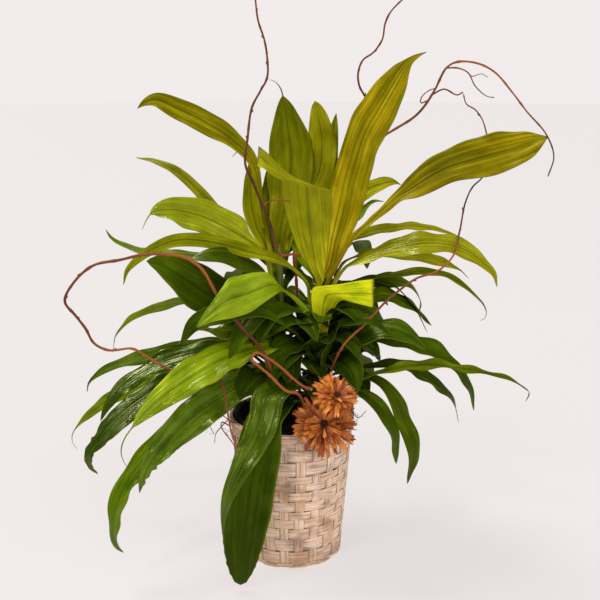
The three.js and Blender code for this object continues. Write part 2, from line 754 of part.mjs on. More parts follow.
// The two halves of a leaf meet at the midrib in a shallow channel; the corners of its section run
// from the left margin underneath to the right margin and back on top. The upper sides are crossed,
// so that both faces of a twisted blade split along the same line and it keeps its thickness.
const LEAF_CAP = [[0, 1, 4], [0, 4, 5], [1, 2, 3], [1, 3, 4]];
const LEAF_UPPER_SIDES = [3, 4];

function leafSolid(leaf) {
  const cane = CANES[leaf.cane];
  const outward = new THREE.Vector3(1, 0, 0).applyAxisAngle(UP, degToRad(leaf.bearing));
  const base = new THREE.Vector3(cane.x, cane.y, leaf.height)
    .addScaledVector(outward, caneRadius(leaf.height) + GAP + LEAF_THICKNESS / 2);
  const neck = base.clone()
    .addScaledVector(outward, LEAF_BASE_LENGTH * LEAF_BASE_REACH)
    .addScaledVector(UP, LEAF_BASE_LENGTH * LEAF_BASE_RISE);
  const curve = smoothCurve([base, neck, ...leaf.midrib.map(vector)]);
  const [twist, twistStart, twistEnd] = leaf.twist ?? [0, 0, 1];
  const rings = carriedFrames(curve, LEAF_STATIONS, outward.clone().negate()).map((frame) => {
    const rolling = smoothstep(frame.along, LEAF_ROLL_START, LEAF_ROLL_END);
    const twisting = twist * smoothstep(frame.along, twistStart, twistEnd);
    const roll = degToRad(leaf.roll * rolling + twisting);
    const normal = frame.normal.clone().applyAxisAngle(frame.tangent, roll);
    const side = new THREE.Vector3().crossVectors(normal, frame.tangent);
    const half = leafHalfWidth(leaf, frame.along);
    const flattened = smoothstep(frame.along, 0, LEAF_ROLL_END);
    const channel = lerp(LEAF_BASE_CHANNEL, LEAF_BLADE_CHANNEL, flattened);
    const corner = (across, face) => frame.point.clone()
      .addScaledVector(side, across * half)
      .addScaledVector(normal, Math.abs(across) * half * channel + (face * LEAF_THICKNESS) / 2);
    return [corner(-1, -1), corner(0, -1), corner(1, -1), corner(1, 1), corner(0, 1), corner(-1, 1)];
  });
  return loft(rings, LEAF_CAP, (side) => LEAF_UPPER_SIDES.includes(side));
}

// Twigs and dried flowers -------------------------------------------------------------------------

function twigSolid(twig) {
  let solid = toManifold(rod(twig.route, twig.rootRadius, twig.tipRadius));
  for (const branch of twig.branches) {
    solid = solid.add(toManifold(rod(branch.route, branch.rootRadius, branch.tipRadius)));
  }
  return fromManifold(solid);
}

// One petal lies along +X from the heart and curls up towards +Z at its blunt end.
function petalSolid(flower, ring) {
  const length = flower.radius * ring.reach;
  const width = flower.radius * ring.width;
  const rings = PETAL_STATIONS.map((along) => {
    const half = (width / 2) * lerp(PETAL_ROOT_WIDTH, 1, along);
    const x = length * along;
    const z = ring.floor + length * ring.lift * along ** 2;
    return [
      new THREE.Vector3(x, half, z),
      new THREE.Vector3(x, -half, z),
      new THREE.Vector3(x, -half, z - PETAL_THICKNESS),
      new THREE.Vector3(x, half, z - PETAL_THICKNESS),
    ];
  });
  return loft(rings, [[0, 1, 2], [0, 2, 3]]);
}

function flowerSolid(flower) {
  const heart = new THREE.IcosahedronGeometry(flower.radius * FLOWER_HEART, 1);
  heart.scale(1, 1, FLOWER_HEART_DEPTH / FLOWER_HEART);
  let solid = toManifold(heart);
  for (const ring of PETAL_RINGS) {
    for (let petal = 0; petal < ring.count; petal += 1) {
      const angle = (2 * Math.PI * (petal + ring.lift)) / ring.count;
      solid = solid.add(toManifold(petalSolid(flower, ring).rotateZ(angle)));
    }
  }
  const head = fromManifold(solid);
  const aim = new THREE.Quaternion()
    .setFromUnitVectors(UP, vector(flower.facing).normalize());
  head.applyQuaternion(aim);
  head.translate(...flower.middle);
  const stalk = rod(flower.stalk, STALK_RADIUS, STALK_RADIUS, STALK_STEP);
  return fromManifold(toManifold(head).add(toManifold(stalk)));
}

// Soil and moss -----------------------------------------------------------------------------------

// The soil is a plug that fills the grow pot, with a close socket around everything stuck in it.
function soilSolid() {
  const foot = POT_FLOOR + POT_WALL + GAP;
  const edge = POT_TOP - SOIL_BELOW_LIP;
  const inside = (height) => potRadius(height) - POT_WALL - 2 * GAP;
  let soil = toManifold(turned([
    [0, foot],
    [inside(foot), foot],
    [inside(edge), edge],
    [inside(edge) * SOIL_SHOULDER, edge + SOIL_MOUND],
    [0, edge + SOIL_MOUND],
  ]));
  for (const cane of Object.values(CANES)) {
    soil = soil.subtract(toManifold(caneSolid(cane, GAP)));
  }
  for (const twig of TWIGS) {
    const [rootRadius, tipRadius] = [twig.rootRadius + SOCKET_GAP, twig.tipRadius + SOCKET_GAP];
    const socket = rod(loweredRoute(twig.route), rootRadius, tipRadius);
    soil = soil.subtract(toManifold(socket));
  }
  for (const flower of FLOWERS) {
    const radius = STALK_RADIUS + SOCKET_GAP;
    const socket = rod(loweredRoute(flower.stalk), radius, radius, STALK_STEP);
    soil = soil.subtract(toManifold(socket));
  }
  return fromManifold(soil);
}

function loweredRoute(route) {
  const [x, y, z] = route[0];
  return [[x, y, z - SOCKET_GAP], ...route.slice(1)];
}

// The moss lies on the lip of the grow pot and swells at the left and the right of the mouth.
function mossRing() {
  const foot = POT_TOP + GAP;
  const middle = (MOSS_INNER_RADIUS + MOSS_OUTER_RADIUS) / 2;
  const waist = foot + 2 * MOSS_ROUNDING;
  const ring = turnedRing([
    [MOSS_INNER_RADIUS + MOSS_ROUNDING, foot],
    [MOSS_OUTER_RADIUS - MOSS_ROUNDING, foot],
    [MOSS_OUTER_RADIUS, waist],
    [MOSS_OUTER_RADIUS - MOSS_ROUNDING, MOSS_TOP - MOSS_ROUNDING],
    [middle, MOSS_TOP],
    [MOSS_INNER_RADIUS + MOSS_ROUNDING, MOSS_TOP - 2 * MOSS_ROUNDING],
    [MOSS_INNER_RADIUS, waist],
  ]);
  const position = ring.getAttribute("position");
  for (let vertex = 0; vertex < position.count; vertex += 1) {
    const angle = Math.atan2(position.getY(vertex), position.getX(vertex));
    const height = position.getZ(vertex);
    const rise = smoothstep(height, waist, MOSS_TOP);
    const tuft = MOSS_TUFT_SHARE * Math.sin(MOSS_TUFTS * angle);
    position.setZ(vertex, height + rise * MOSS_SWELL * (Math.cos(angle) ** 4 + tuft));
  }
  return ring;
}

// Assembly ----------------------------------------------------------------------------------------

const plant = new THREE.Group();

function place(name, geometry, finish) {
  const material = new THREE.MeshStandardMaterial({ ...FINISHES[finish], metalness: 0 });
  const mesh = new THREE.Mesh(geometry, material);
  mesh.name = name;
  plant.add(mesh);
}

place("basket_wall", basketWall(), "splint");
place("basket_floor", basketFloor(), "splint");
place("basket_rim", basketRim(), "splint");
place("plastic_liner", plasticLiner(), "liner");
place("grow_pot", growPot(), "pot");
place("soil", soilSolid(), "soil");
place("moss_ring", mossRing(), "moss");
for (const [name, cane] of Object.entries(CANES)) {
  place(`cane_${name}`, caneSolid(cane), "cane");
}
for (const leaf of LEAVES) {
  place(leaf.name, leafSolid(leaf), "leaf");
}
for (const twig of TWIGS) {
  place(twig.name, twigSolid(twig), "willow");
}
for (const flower of FLOWERS) {
  place(flower.name, flowerSolid(flower), "petal");
}

export default plant;
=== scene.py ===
import math
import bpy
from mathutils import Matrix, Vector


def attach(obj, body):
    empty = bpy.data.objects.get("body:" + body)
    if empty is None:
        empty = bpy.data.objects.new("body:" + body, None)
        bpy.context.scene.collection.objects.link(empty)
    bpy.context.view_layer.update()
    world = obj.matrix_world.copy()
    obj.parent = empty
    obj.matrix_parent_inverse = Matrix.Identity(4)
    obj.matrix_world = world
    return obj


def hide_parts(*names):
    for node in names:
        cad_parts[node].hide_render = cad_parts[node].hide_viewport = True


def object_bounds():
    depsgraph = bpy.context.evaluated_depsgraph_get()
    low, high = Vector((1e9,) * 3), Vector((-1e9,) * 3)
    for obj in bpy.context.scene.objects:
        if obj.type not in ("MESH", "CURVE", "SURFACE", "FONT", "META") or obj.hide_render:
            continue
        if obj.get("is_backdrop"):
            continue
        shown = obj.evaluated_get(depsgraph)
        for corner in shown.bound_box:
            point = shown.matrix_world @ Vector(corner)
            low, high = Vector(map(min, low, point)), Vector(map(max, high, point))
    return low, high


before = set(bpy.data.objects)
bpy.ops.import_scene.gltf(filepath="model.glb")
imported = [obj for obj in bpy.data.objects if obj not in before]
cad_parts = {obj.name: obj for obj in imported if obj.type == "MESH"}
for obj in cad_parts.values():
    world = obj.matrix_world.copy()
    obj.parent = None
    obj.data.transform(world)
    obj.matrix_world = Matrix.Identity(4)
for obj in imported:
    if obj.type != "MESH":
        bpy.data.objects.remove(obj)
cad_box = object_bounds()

from types import SimpleNamespace

import bpy
import numpy as np
from bpy.props import FloatProperty, FloatVectorProperty, IntProperty, PointerProperty
from mathutils import Vector

bl_info = {
    "name": "Potted Corn Plant",
    "version": (1, 0, 0),
    "blender": (4, 5, 0),
    "location": "3D View > Sidebar > Plant",
    "description": "A corn plant in a woven splint basket, with willow twigs and dried flowers",
    "category": "Object",
}

MM = 0.001
UP = np.array((0.0, 0.0, 1.0))
FULL_TURN = 2 * math.pi
GOLDEN_SHARE = 0.618
GOLDEN_ANGLE = math.pi * (3 - 5 ** 0.5)

# ------------------------------------------------------------------------------------------
# Driving shapes, in millimetres, with the origin under the middle of the basket and -Y in front
# ------------------------------------------------------------------------------------------

# The small room left between pieces that lie against each other.
GAP = 0.3

BASKET_HEIGHT = 268
FOOT_RADIUS = 92
MOUTH_RADIUS = 113.2
WALL_TOP = 266.3
WALL_THICKNESS = 3.5
WALL_LEAN = (MOUTH_RADIUS - FOOT_RADIUS) / WALL_TOP
WEAVE_LOW = 9
WEAVE_HIGH = WALL_TOP - 10
FOOT_CURL = 2.5
RIM_DEPTH = 16
RIM_INNER_DEPTH = 10
RIM_BAND = 1.1
REED_RADIUS = 1.9

SOIL_FOOT = 8
SOIL_FOOT_RADIUS = 75.5
SOIL_RADIUS = 96.6
SOIL_TOP = 238.4
SOIL_MOUND = 4.5

MOSS_INNER = 86
MOSS_WIDTH = 20.5
MOSS_FOOT = 247
MOSS_RISE = 19
MOSS_SWELL = 9

# Place of each cane's foot, and the height of its tip.
CANES = {"front": (48, -5, 548), "left": (-22, 40, 575), "right": (56, 44, 570)}
CANE_FOOT = 120
CANE_FOOT_RADIUS = 9
CANE_TOP_RADIUS = 7.6
CANE_SLIM_HEIGHT = 500
CANE_SPEAR = 26
CANE_SPEAR_RADIUS = 1.2
SCAR_SPACING = 11
SCARRED_HEIGHT = 430

NECK_REACH = 8.4
NECK_RISE = 11.2
NECK_WIDTH = 16
SHEATH_WIDTH = 24
SHEATH_OFFSET = 0.5
THREAD_WIDTH = 2.4
TIP_WIDTH = 1.0
# Half the width from which a blade has folds and waves of their full height.
FULL_RELIEF_HALF_WIDTH = 25
# How softly the two halves of a blade meet, as a share of half its width.
CHANNEL_ROUND = 0.0632
RIB_HALF_WIDTH = 1.8
GROOVE_HALF_WIDTH = 1.2

KNOT_SPACING = 46
# Buds stand this many points of a twig's route apart.
BUD_EVERY = 9
HAIR_ROOTS = 7


def leaf(name, cane, bearing, height, width, roll, tone, midrib=(), margins=(), gold=0.0, end=1.0,
         peak=1.1, blunt=0.75, snub=0.0, twist=(0, 0.5, 0.9), wave=1.0, pleat=0.4, ragged=0.0,
         gloss=0.5):
    """One leaf: where it springs from its cane, its course, its outline and its looks.

    bearing is the side of the cane and roll turns the blade about its midrib, both in degrees.
    width is that of the widest place, which a high peak puts near the tip, and a low blunt makes
    the outline full. end is the share of the length where the blade runs out into a bare thread,
    and snub is the share of the width that a blunt tip keeps. twist turns the blade by an angle
    between two shares of the length. wave, pleat and ragged scale the waves of the margins, the
    long folds and the tears near the tip. tone runs from 0, the deep green of old leaves, to 1,
    the palest; gold from 0, green, to 1, the yellow of the youngest; gloss from 0 to 1. A folded
    leaf has margins instead of a midrib: pairs of points, left and right.
    """
    return SimpleNamespace(**locals())


# The leaves of the frame.
LEAVES = [
    # The deep tone of this leaf is partly its own old green and partly painted shade: it also stands
    # for the shaded half of the hanging leaf that turns away from the light.
    leaf("leaf_front_hanging_dark", "front", 245, 264, 86, -45, 0.05, peak=1.5, blunt=0.55,
         snub=0.38, ragged=0.1, wave=0.8, gloss=0.6, midrib=[
        (5, -62, 312), (-40, -118, 306), (-56, -140, 250), (-70, -152, 190), (-80, -162, 120),
        (-87, -168, 56), (-89, -164, 10)]),
    leaf("leaf_front_hanging", "front", 235, 288, 56, -45, 0.3, peak=0.65, blunt=1.2, gloss=0.9,
         midrib=[
        (12, -56, 338), (-11, -81, 345), (-38, -106, 341), (-44, -124, 313), (-54, -144, 286),
        (-69, -160, 260), (-84, -173, 237), (-97, -182, 212), (-107, -188, 185), (-113, -190, 158),
        (-115, -189, 131), (-115, -186, 106)]),
    leaf("leaf_right_drooping", "front", 320, 272, 30, 35, 0.2, gold=0.1, peak=1.6, midrib=[
        (98, -48, 320), (125, -60, 326), (160, -75, 300), (180, -85, 260), (185, -90, 205)]),
    leaf("leaf_right_long_low", "front", 305, 298, 34, 35, 0.42, gold=0.25, midrib=[
        (104, -44, 338), (165, -54, 366), (237, -64, 382), (282, -68, 378), (329, -70, 371),
        (373, -71, 359), (403, -71, 344), (417, -70, 331), (411, -70, 314)]),
    leaf("leaf_right_twisted", "front", 355, 280, 32, 40, 0.18, gold=0.1, peak=1.8, midrib=[
        (105, -20, 345), (155, -30, 340), (190, -40, 300), (200, -40, 270), (220, -50, 215),
        (210, -55, 150)]),
    leaf("leaf_front_left_glossy", "front", 205, 314, 60, -60, 0.4, gloss=1.0, ragged=0.5, wave=2.0,
         snub=0.15, midrib=[
        (-14, -24, 357), (-47, -42, 354), (-85, -66, 346), (-122, -92, 331), (-156, -118, 316),
        (-186, -142, 296), (-211, -164, 275), (-231, -181, 252), (-245, -194, 225),
        (-251, -200, 203)]),
    leaf("leaf_front_left_bright", "front", 200, 342, 62, -50, 0.68, gold=0.05, gloss=0.8, end=0.84,
         midrib=[
        (1, -20, 386), (-35, -34, 404), (-73, -50, 405), (-114, -68, 396), (-157, -88, 378),
        (-197, -108, 356), (-234, -128, 331), (-263, -146, 303), (-281, -158, 279),
        (-285, -166, 261), (-281, -170, 247), (-273, -174, 236)]),
    leaf("leaf_right_broad", "front", 335, 345, 50, 40, 0.3, gloss=0.7, midrib=[
        (75, -25, 390), (115, -45, 425), (160, -60, 445), (205, -70, 435), (235, -75, 410)]),
    leaf("leaf_left_dark", "front", 215, 362, 48, -65, 0.2, midrib=[
        (20, -25, 405), (-5, -40, 450), (-50, -55, 485), (-115, -75, 480), (-165, -85, 460),
        (-190, -90, 425)]),
    leaf("leaf_front_flag", "front", 300, 386, 52, 0, 1.0, gold=0.1, pleat=0.15, wave=0.2, margins=[
        ((42, -18, 386), (63, -6, 386)), ((45, -22, 404), (63, -18, 402)),
        ((42, -26, 436), (66, -22, 435)), ((36, -32, 471), (73, -28, 465)),
        ((34, -40, 497), (81, -38, 484)), ((37, -46, 514), (88, -50, 492)),
        ((53, -50, 519), (94, -58, 494)), ((80, -54, 523), (108, -64, 492)),
        ((111, -60, 530), (123, -70, 490)), ((141, -66, 535), (140, -76, 487))]),
    leaf("leaf_left_curled", "left", 282, 394, 40, -40, 0.4, gold=0.2, wave=2.4, snub=0.2, gloss=0.8,
         midrib=[
        (-24, 4, 414), (-54, -26, 424), (-90, -45, 434), (-122, -53, 438), (-172, -58, 441),
        (-197, -64, 418)]),
    leaf("leaf_left_bright", "front", 218, 448, 58, 0, 0.7, gold=0.05, gloss=0.7, pleat=0.5,
         wave=0.4, margins=[
        ((40, -12, 449), (34, -20, 445)), ((14, -22, 486), (12, -30, 478)),
        ((-18, -38, 515), (-14, -44, 507)), ((-36, -50, 540), (-27, -62, 507)),
        ((-59, -62, 546), (-47, -80, 496)), ((-85, -74, 544), (-70, -96, 484)),
        ((-105, -86, 541), (-96, -108, 478)), ((-119, -97, 524), (-118, -118, 477)),
        ((-134, -109, 503), (-134, -126, 475)), ((-144, -122, 491), (-145, -133, 472)),
        ((-155, -139, 475), (-157, -141, 471))]),
    leaf("leaf_left_crown", "front", 175, 466, 26, -50, 0.56, gold=0.45, midrib=[
        (26, -15, 514), (-16, -24, 556), (-75, -30, 576), (-136, -34, 593), (-194, -40, 598),
        (-233, -48, 585), (-263, -56, 566), (-280, -62, 548), (-286, -66, 525)]),
    leaf("leaf_right_arching", "front", 340, 472, 46, 45, 0.66, gold=0.55, gloss=0.7, midrib=[
        (95, -18, 543), (140, -30, 568), (183, -38, 584), (225, -44, 593), (264, -48, 592),
        (300, -50, 581), (328, -50, 561), (348, -50, 540), (355, -50, 517)]),
    leaf("leaf_right_long", "front", 5, 496, 62, 50, 0.47, gold=0.95, pleat=0.9, margins=[
        ((56, -14, 494), (58, 4, 500)), ((114, -18, 597), (111, 6, 601)),
        ((139, -24, 620), (134, 0, 626)), ((166, -29, 645), (160, -5, 654)),
        ((190, -33, 663), (183, -9, 678)), ((213, -37, 669), (198, -13, 699)),
        ((242, -41, 682), (217, -17, 721)), ((274, -46, 698), (248, -22, 742)),
        ((309, -52, 704), (286, -28, 762)), ((346, -57, 713), (324, -33, 775)),
        ((382, -61, 728), (359, -37, 781)), ((404, -64, 747), (391, -40, 781)),
        ((417, -66, 765), (414, -42, 776)), ((421, -67, 773), (427, -43, 773))]),
    leaf("leaf_top_folded", "front", 250, 508, 90, 0, 0.66, gold=0.6, pleat=0.3, wave=0.3, margins=[
        ((33, -13, 508), (57, -13, 508)), ((47, -20, 510), (60, -20, 522)),
        ((29, -32, 547), (59, -32, 550)), ((12, -42, 581), (63, -42, 584)),
        ((-2, -54, 618), (66, -52, 617)), ((-12, -68, 658), (69, -62, 650)),
        ((-16, -80, 690), (68, -70, 677)), ((-16, -88, 705), (66, -75, 688)),
        ((-24, -92, 713), (41, -74, 697)), ((-34, -96, 722), (8, -73, 710)),
        ((-43, -98, 727), (-18, -74, 730)), ((-50, -98, 730), (-36, -75, 749)),
        ((-55, -97, 733), (-52, -78, 762))]),
    leaf("leaf_top_tall", "front", 90, 516, 72, 0, 0.58, gold=0.95, pleat=0.9, margins=[
        ((58, 6, 516), (38, 6, 516)), ((74, 14, 529), (57, 14, 536)),
        ((96, 16, 578), (60, 16, 592)), ((120, 20, 626), (64, 20, 647)),
        ((132, 26, 673), (71, 26, 694)), ((143, 32, 713), (83, 32, 733)),
        ((152, 38, 745), (95, 38, 773)), ((166, 44, 769), (107, 44, 805)),
        ((180, 50, 794), (124, 50, 829)), ((192, 57, 822), (144, 57, 855)),
        ((201, 64, 850), (164, 64, 874)), ((206, 70, 872), (182, 70, 888)),
        ((211, 75, 887), (196, 75, 895)), ((223, 80, 899), (216, 80, 904)),
        ((237, 85, 908), (237, 85, 909))]),
    leaf("leaf_back_right_low", "right", 0, 290, 38, 35, 0.26, gold=0.1, midrib=[
        (145, 60, 335), (215, 80, 330), (275, 100, 290), (315, 115, 245), (330, 125, 195)]),
    leaf("leaf_back_right_dark", "right", 340, 345, 46, 35, 0.22, gold=0.1, midrib=[
        (105, 38, 388), (170, 30, 398), (245, 20, 388), (290, 10, 360), (325, 5, 315), (335, 0, 270)]),
    leaf("leaf_back_low", "right", 90, 318, 50, 0, 0.2, midrib=[
        (85, 110, 370), (105, 175, 385), (120, 245, 355), (125, 300, 290), (125, 325, 225)]),
    leaf("leaf_back_right_pointed", "right", 325, 415, 42, 60, 0.38, gold=0.1, midrib=[
        (125, 45, 465), (175, 65, 472), (220, 80, 450), (265, 95, 405)]),
    leaf("leaf_back_right_short", "right", 25, 438, 34, 35, 0.45, gold=0.2, midrib=[
        (110, 70, 478), (155, 90, 492), (200, 115, 488), (235, 140, 465), (250, 155, 435),
        (248, 160, 412)]),
    leaf("leaf_back_right_olive", "right", 355, 478, 34, 45, 0.58, gold=0.6, midrib=[
        (97, 50, 539), (139, 58, 551), (186, 70, 553), (228, 84, 544), (273, 100, 530),
        (314, 118, 511), (338, 130, 488)]),
    leaf("leaf_back_middle", "right", 110, 462, 52, 0, 0.45, midrib=[
        (55, 95, 530), (55, 150, 585), (60, 215, 590), (65, 275, 545), (65, 310, 480)]),
    leaf("leaf_back_right_thin", "right", 30, 508, 28, 30, 0.6, gold=0.6, midrib=[
        (88, 70, 561), (130, 95, 582), (180, 125, 587), (230, 150, 586), (278, 175, 576),
        (327, 200, 557)]),
    leaf("leaf_back_right_small", "right", 60, 530, 36, 20, 0.62, gold=0.6, peak=1.5, midrib=[
        (82, 72, 598), (101, 92, 635), (130, 115, 657), (163, 138, 668), (192, 156, 671),
        (207, 168, 663)]),
    leaf("leaf_back_spike", "right", 120, 536, 32, -20, 0.5, gold=0.4, midrib=[
        (56, 72, 590), (62, 90, 650), (72, 120, 735), (82, 150, 798)]),
    leaf("leaf_left_front_long", "left", 235, 270, 42, -50, 0.44, peak=1.9, blunt=0.6, wave=2.4,
         snub=0.3, twist=(25, 0.6, 0.9), midrib=[
        (-66, -18, 329), (-119, -40, 314), (-169, -62, 294), (-210, -84, 267), (-243, -104, 238),
        (-271, -122, 208), (-293, -138, 172), (-305, -149, 133), (-308, -154, 103),
        (-302, -156, 79), (-291, -156, 68)]),
    leaf("leaf_left_ragged_dark", "left", 212, 296, 50, -50, 0.16, gloss=1.0, ragged=0.6, wave=1.4,
         snub=0.2, midrib=[
        (-108, -10, 349), (-173, -28, 345), (-225, -45, 333), (-270, -62, 309), (-309, -78, 279),
        (-340, -90, 249), (-355, -98, 226), (-354, -101, 208), (-340, -102, 191)]),
    leaf("leaf_left_pale", "left", 165, 285, 36, -50, 0.56, gold=0.15, end=0.9, midrib=[
        (-86, 52, 327), (-155, 65, 331), (-223, 80, 319), (-278, 95, 298), (-340, 112, 261),
        (-384, 128, 228), (-421, 140, 193), (-444, 150, 161), (-446, 155, 140), (-437, 160, 122)]),
    leaf("leaf_left_low", "left", 200, 322, 42, -55, 0.24, wave=1.8, gloss=0.9, midrib=[
        (-90, 24, 380), (-140, 18, 383), (-189, 10, 376), (-239, 0, 361), (-281, -15, 341),
        (-310, -30, 320), (-330, -40, 295), (-343, -45, 268)]),
    leaf("leaf_left_long", "left", 180, 346, 32, -50, 0.3, midrib=[
        (-80, 45, 386), (-130, 54, 387), (-191, 64, 373), (-265, 76, 353), (-328, 86, 333),
        (-371, 92, 311), (-392, 95, 290), (-397, 95, 270)]),
    leaf("leaf_left_broad_dark", "left", 228, 366, 82, -80, 0.25, gold=0.05, peak=1.3, wave=0.6,
         midrib=[
        (-61, 15, 415), (-100, -15, 466), (-150, -42, 508), (-190, -60, 541), (-222, -72, 563),
        (-243, -80, 570)]),
    leaf("leaf_left_middle", "left", 178, 420, 26, -40, 0.5, gold=0.2, midrib=[
        (-75, 50, 465), (-150, 70, 465), (-240, 95, 445), (-305, 115, 415), (-340, 125, 380),
        (-350, 130, 340)]),
    leaf("leaf_back_left", "left", 130, 392, 50, 0, 0.35, midrib=[
        (-50, 85, 450), (-75, 145, 490), (-105, 210, 480), (-130, 265, 425), (-140, 295, 355)]),
    leaf("leaf_left_twisted", "left", 190, 468, 20, -60, 0.4, gold=0.1, wave=0.8, midrib=[
        (-54, 48, 515), (-109, 62, 536), (-179, 85, 542), (-238, 108, 543), (-287, 125, 545),
        (-324, 142, 553), (-347, 155, 564), (-359, 168, 577)]),
    leaf("leaf_left_glossy", "left", 215, 492, 64, -85, 0.72, gold=0.35, peak=1.5, blunt=0.6,
         gloss=1.0, pleat=0.9, end=0.9, midrib=[
        (-53, 22, 564), (-91, 12, 595), (-129, 4, 619), (-169, -5, 637), (-213, -14, 646),
        (-240, -20, 641), (-250, -24, 628), (-257, -27, 613)]),
    leaf("leaf_left_upright", "left", 150, 518, 34, -40, 0.66, gold=0.5, end=0.8, peak=1.0, midrib=[
        (-47, 60, 567), (-64, 76, 597), (-74, 90, 635), (-77, 102, 677), (-76, 112, 713),
        (-82, 120, 737), (-95, 122, 735), (-110, 122, 721)]),
    leaf("leaf_left_behind", "left", 120, 500, 56, 0, 0.55, gold=0.45, midrib=[
        (-28, 82, 545), (-33, 106, 605), (-35, 130, 670), (-31, 142, 722)]),
    leaf("leaf_left_thin", "left", 160, 508, 22, -60, 0.58, gold=0.6, peak=1.0, midrib=[
        (-51, 62, 557), (-100, 92, 583), (-145, 120, 624), (-173, 140, 653), (-209, 165, 682),
        (-253, 190, 702), (-304, 225, 708)]),
    leaf("leaf_left_high", "left", 165, 534, 42, -60, 0.52, gold=0.8, peak=2.2, blunt=0.95,
         pleat=0.7, midrib=[
        (-47, 62, 592), (-56, 72, 656), (-71, 78, 720), (-107, 86, 757), (-156, 94, 787),
        (-204, 101, 809), (-244, 106, 825), (-266, 109, 819), (-279, 112, 809)]),
    leaf("leaf_top_dark", "left", 95, 545, 84, 0, 0.42, gold=0.5, peak=1.2, end=0.88, pleat=1.0,
         midrib=[
        (-19, 58, 604), (-7, 80, 657), (-1, 100, 718), (-7, 116, 774), (-15, 130, 822),
        (-20, 136, 843), (-31, 139, 856), (-41, 140, 859)]),
    leaf("leaf_top_back", "left", 40, 528, 60, 30, 0.64, gold=0.6, peak=1.4, blunt=0.6, pleat=0.6,
         midrib=[
        (1, 60, 603), (26, 80, 648), (50, 98, 700), (55, 112, 744), (50, 126, 788), (42, 138, 821)]),
]

# Leaves beside those of the frame.
EXTRA_LEAVES = [
    leaf("right_curl", "right", 350, 450, 24, 40, 0.5, gold=0.35, midrib=[
        (110, 50, 498), (148, 60, 506), (187, 70, 510), (225, 80, 513), (259, 90, 512),
        (294, 98, 500), (325, 105, 481), (351, 110, 457), (367, 112, 437), (371, 112, 423),
        (367, 110, 414), (357, 108, 411)]),
    leaf("left_streaked", "left", 255, 440, 46, -75, 0.24, gold=0.1, gloss=1.0, peak=1.3, wave=1.4,
         midrib=[
        (-36, -2, 512), (-52, -14, 535), (-74, -30, 551), (-100, -46, 566), (-128, -57, 574),
        (-155, -64, 573), (-172, -68, 566)]),
    leaf("under_right_broad", "front", 320, 330, 36, 30, 0.18, midrib=[
        (60, -35, 380), (85, -55, 450), (110, -75, 465), (140, -92, 468), (168, -100, 445)]),
    leaf("dark_behind_left", "front", 210, 300, 40, -50, 0.12, midrib=[
        (-20, -10, 350), (-70, -10, 350), (-125, -20, 325), (-170, -30, 290), (-200, -40, 262)]),
]

# Groups of small leaves: cane, count, lowest and highest base, first bearing and the arc they
# spread over (degrees), shortest and longest length, lift and droop, tone.
FILLERS = {
    "filler_leaves_core": [
        ("front", 6, 340, 450, 180, 50, 90, 130, 0.75, 0.95, 0.16),
        ("front", 6, 340, 450, 300, 60, 70, 105, 0.8, 0.9, 0.16),
        ("left", 7, 300, 470, 200, 130, 110, 170, 0.7, 0.9, 0.14),
        ("right", 6, 300, 450, 300, 100, 90, 150, 0.75, 0.9, 0.16),
    ],
    # The small leaves in the heart of the plant are the darkest: old deep green, and painted shade of
    # the plant's dense inside.
    "filler_leaves_heart": [
        ("front", 9, 270, 440, 10, 160, 90, 120, 0.7, 0.6, 0.06),
        ("front", 5, 380, 440, 230, 60, 45, 70, 0.9, 0.7, 0.1),
        ("left", 10, 270, 450, 0, 360, 100, 140, 0.7, 0.7, 0.06),
        ("right", 10, 270, 450, 0, 360, 90, 130, 0.7, 0.7, 0.06),
    ],
    "filler_leaves_back": [
        ("left", 8, 290, 520, 60, 110, 150, 230, 0.75, 0.95, 0.3),
        ("right", 9, 290, 530, 20, 130, 140, 220, 0.75, 0.95, 0.3),
        ("front", 5, 320, 500, 40, 100, 130, 190, 0.8, 0.9, 0.34),
    ],
    "filler_leaves_crown": [
        ("left", 4, 535, 546, 30, 90, 90, 140, 1.25, 0.75, 0.5),
        ("right", 4, 525, 540, 20, 130, 90, 140, 1.3, 0.8, 0.5),
        ("front", 3, 500, 520, 40, 80, 90, 130, 1.3, 0.7, 0.55),
    ],
}

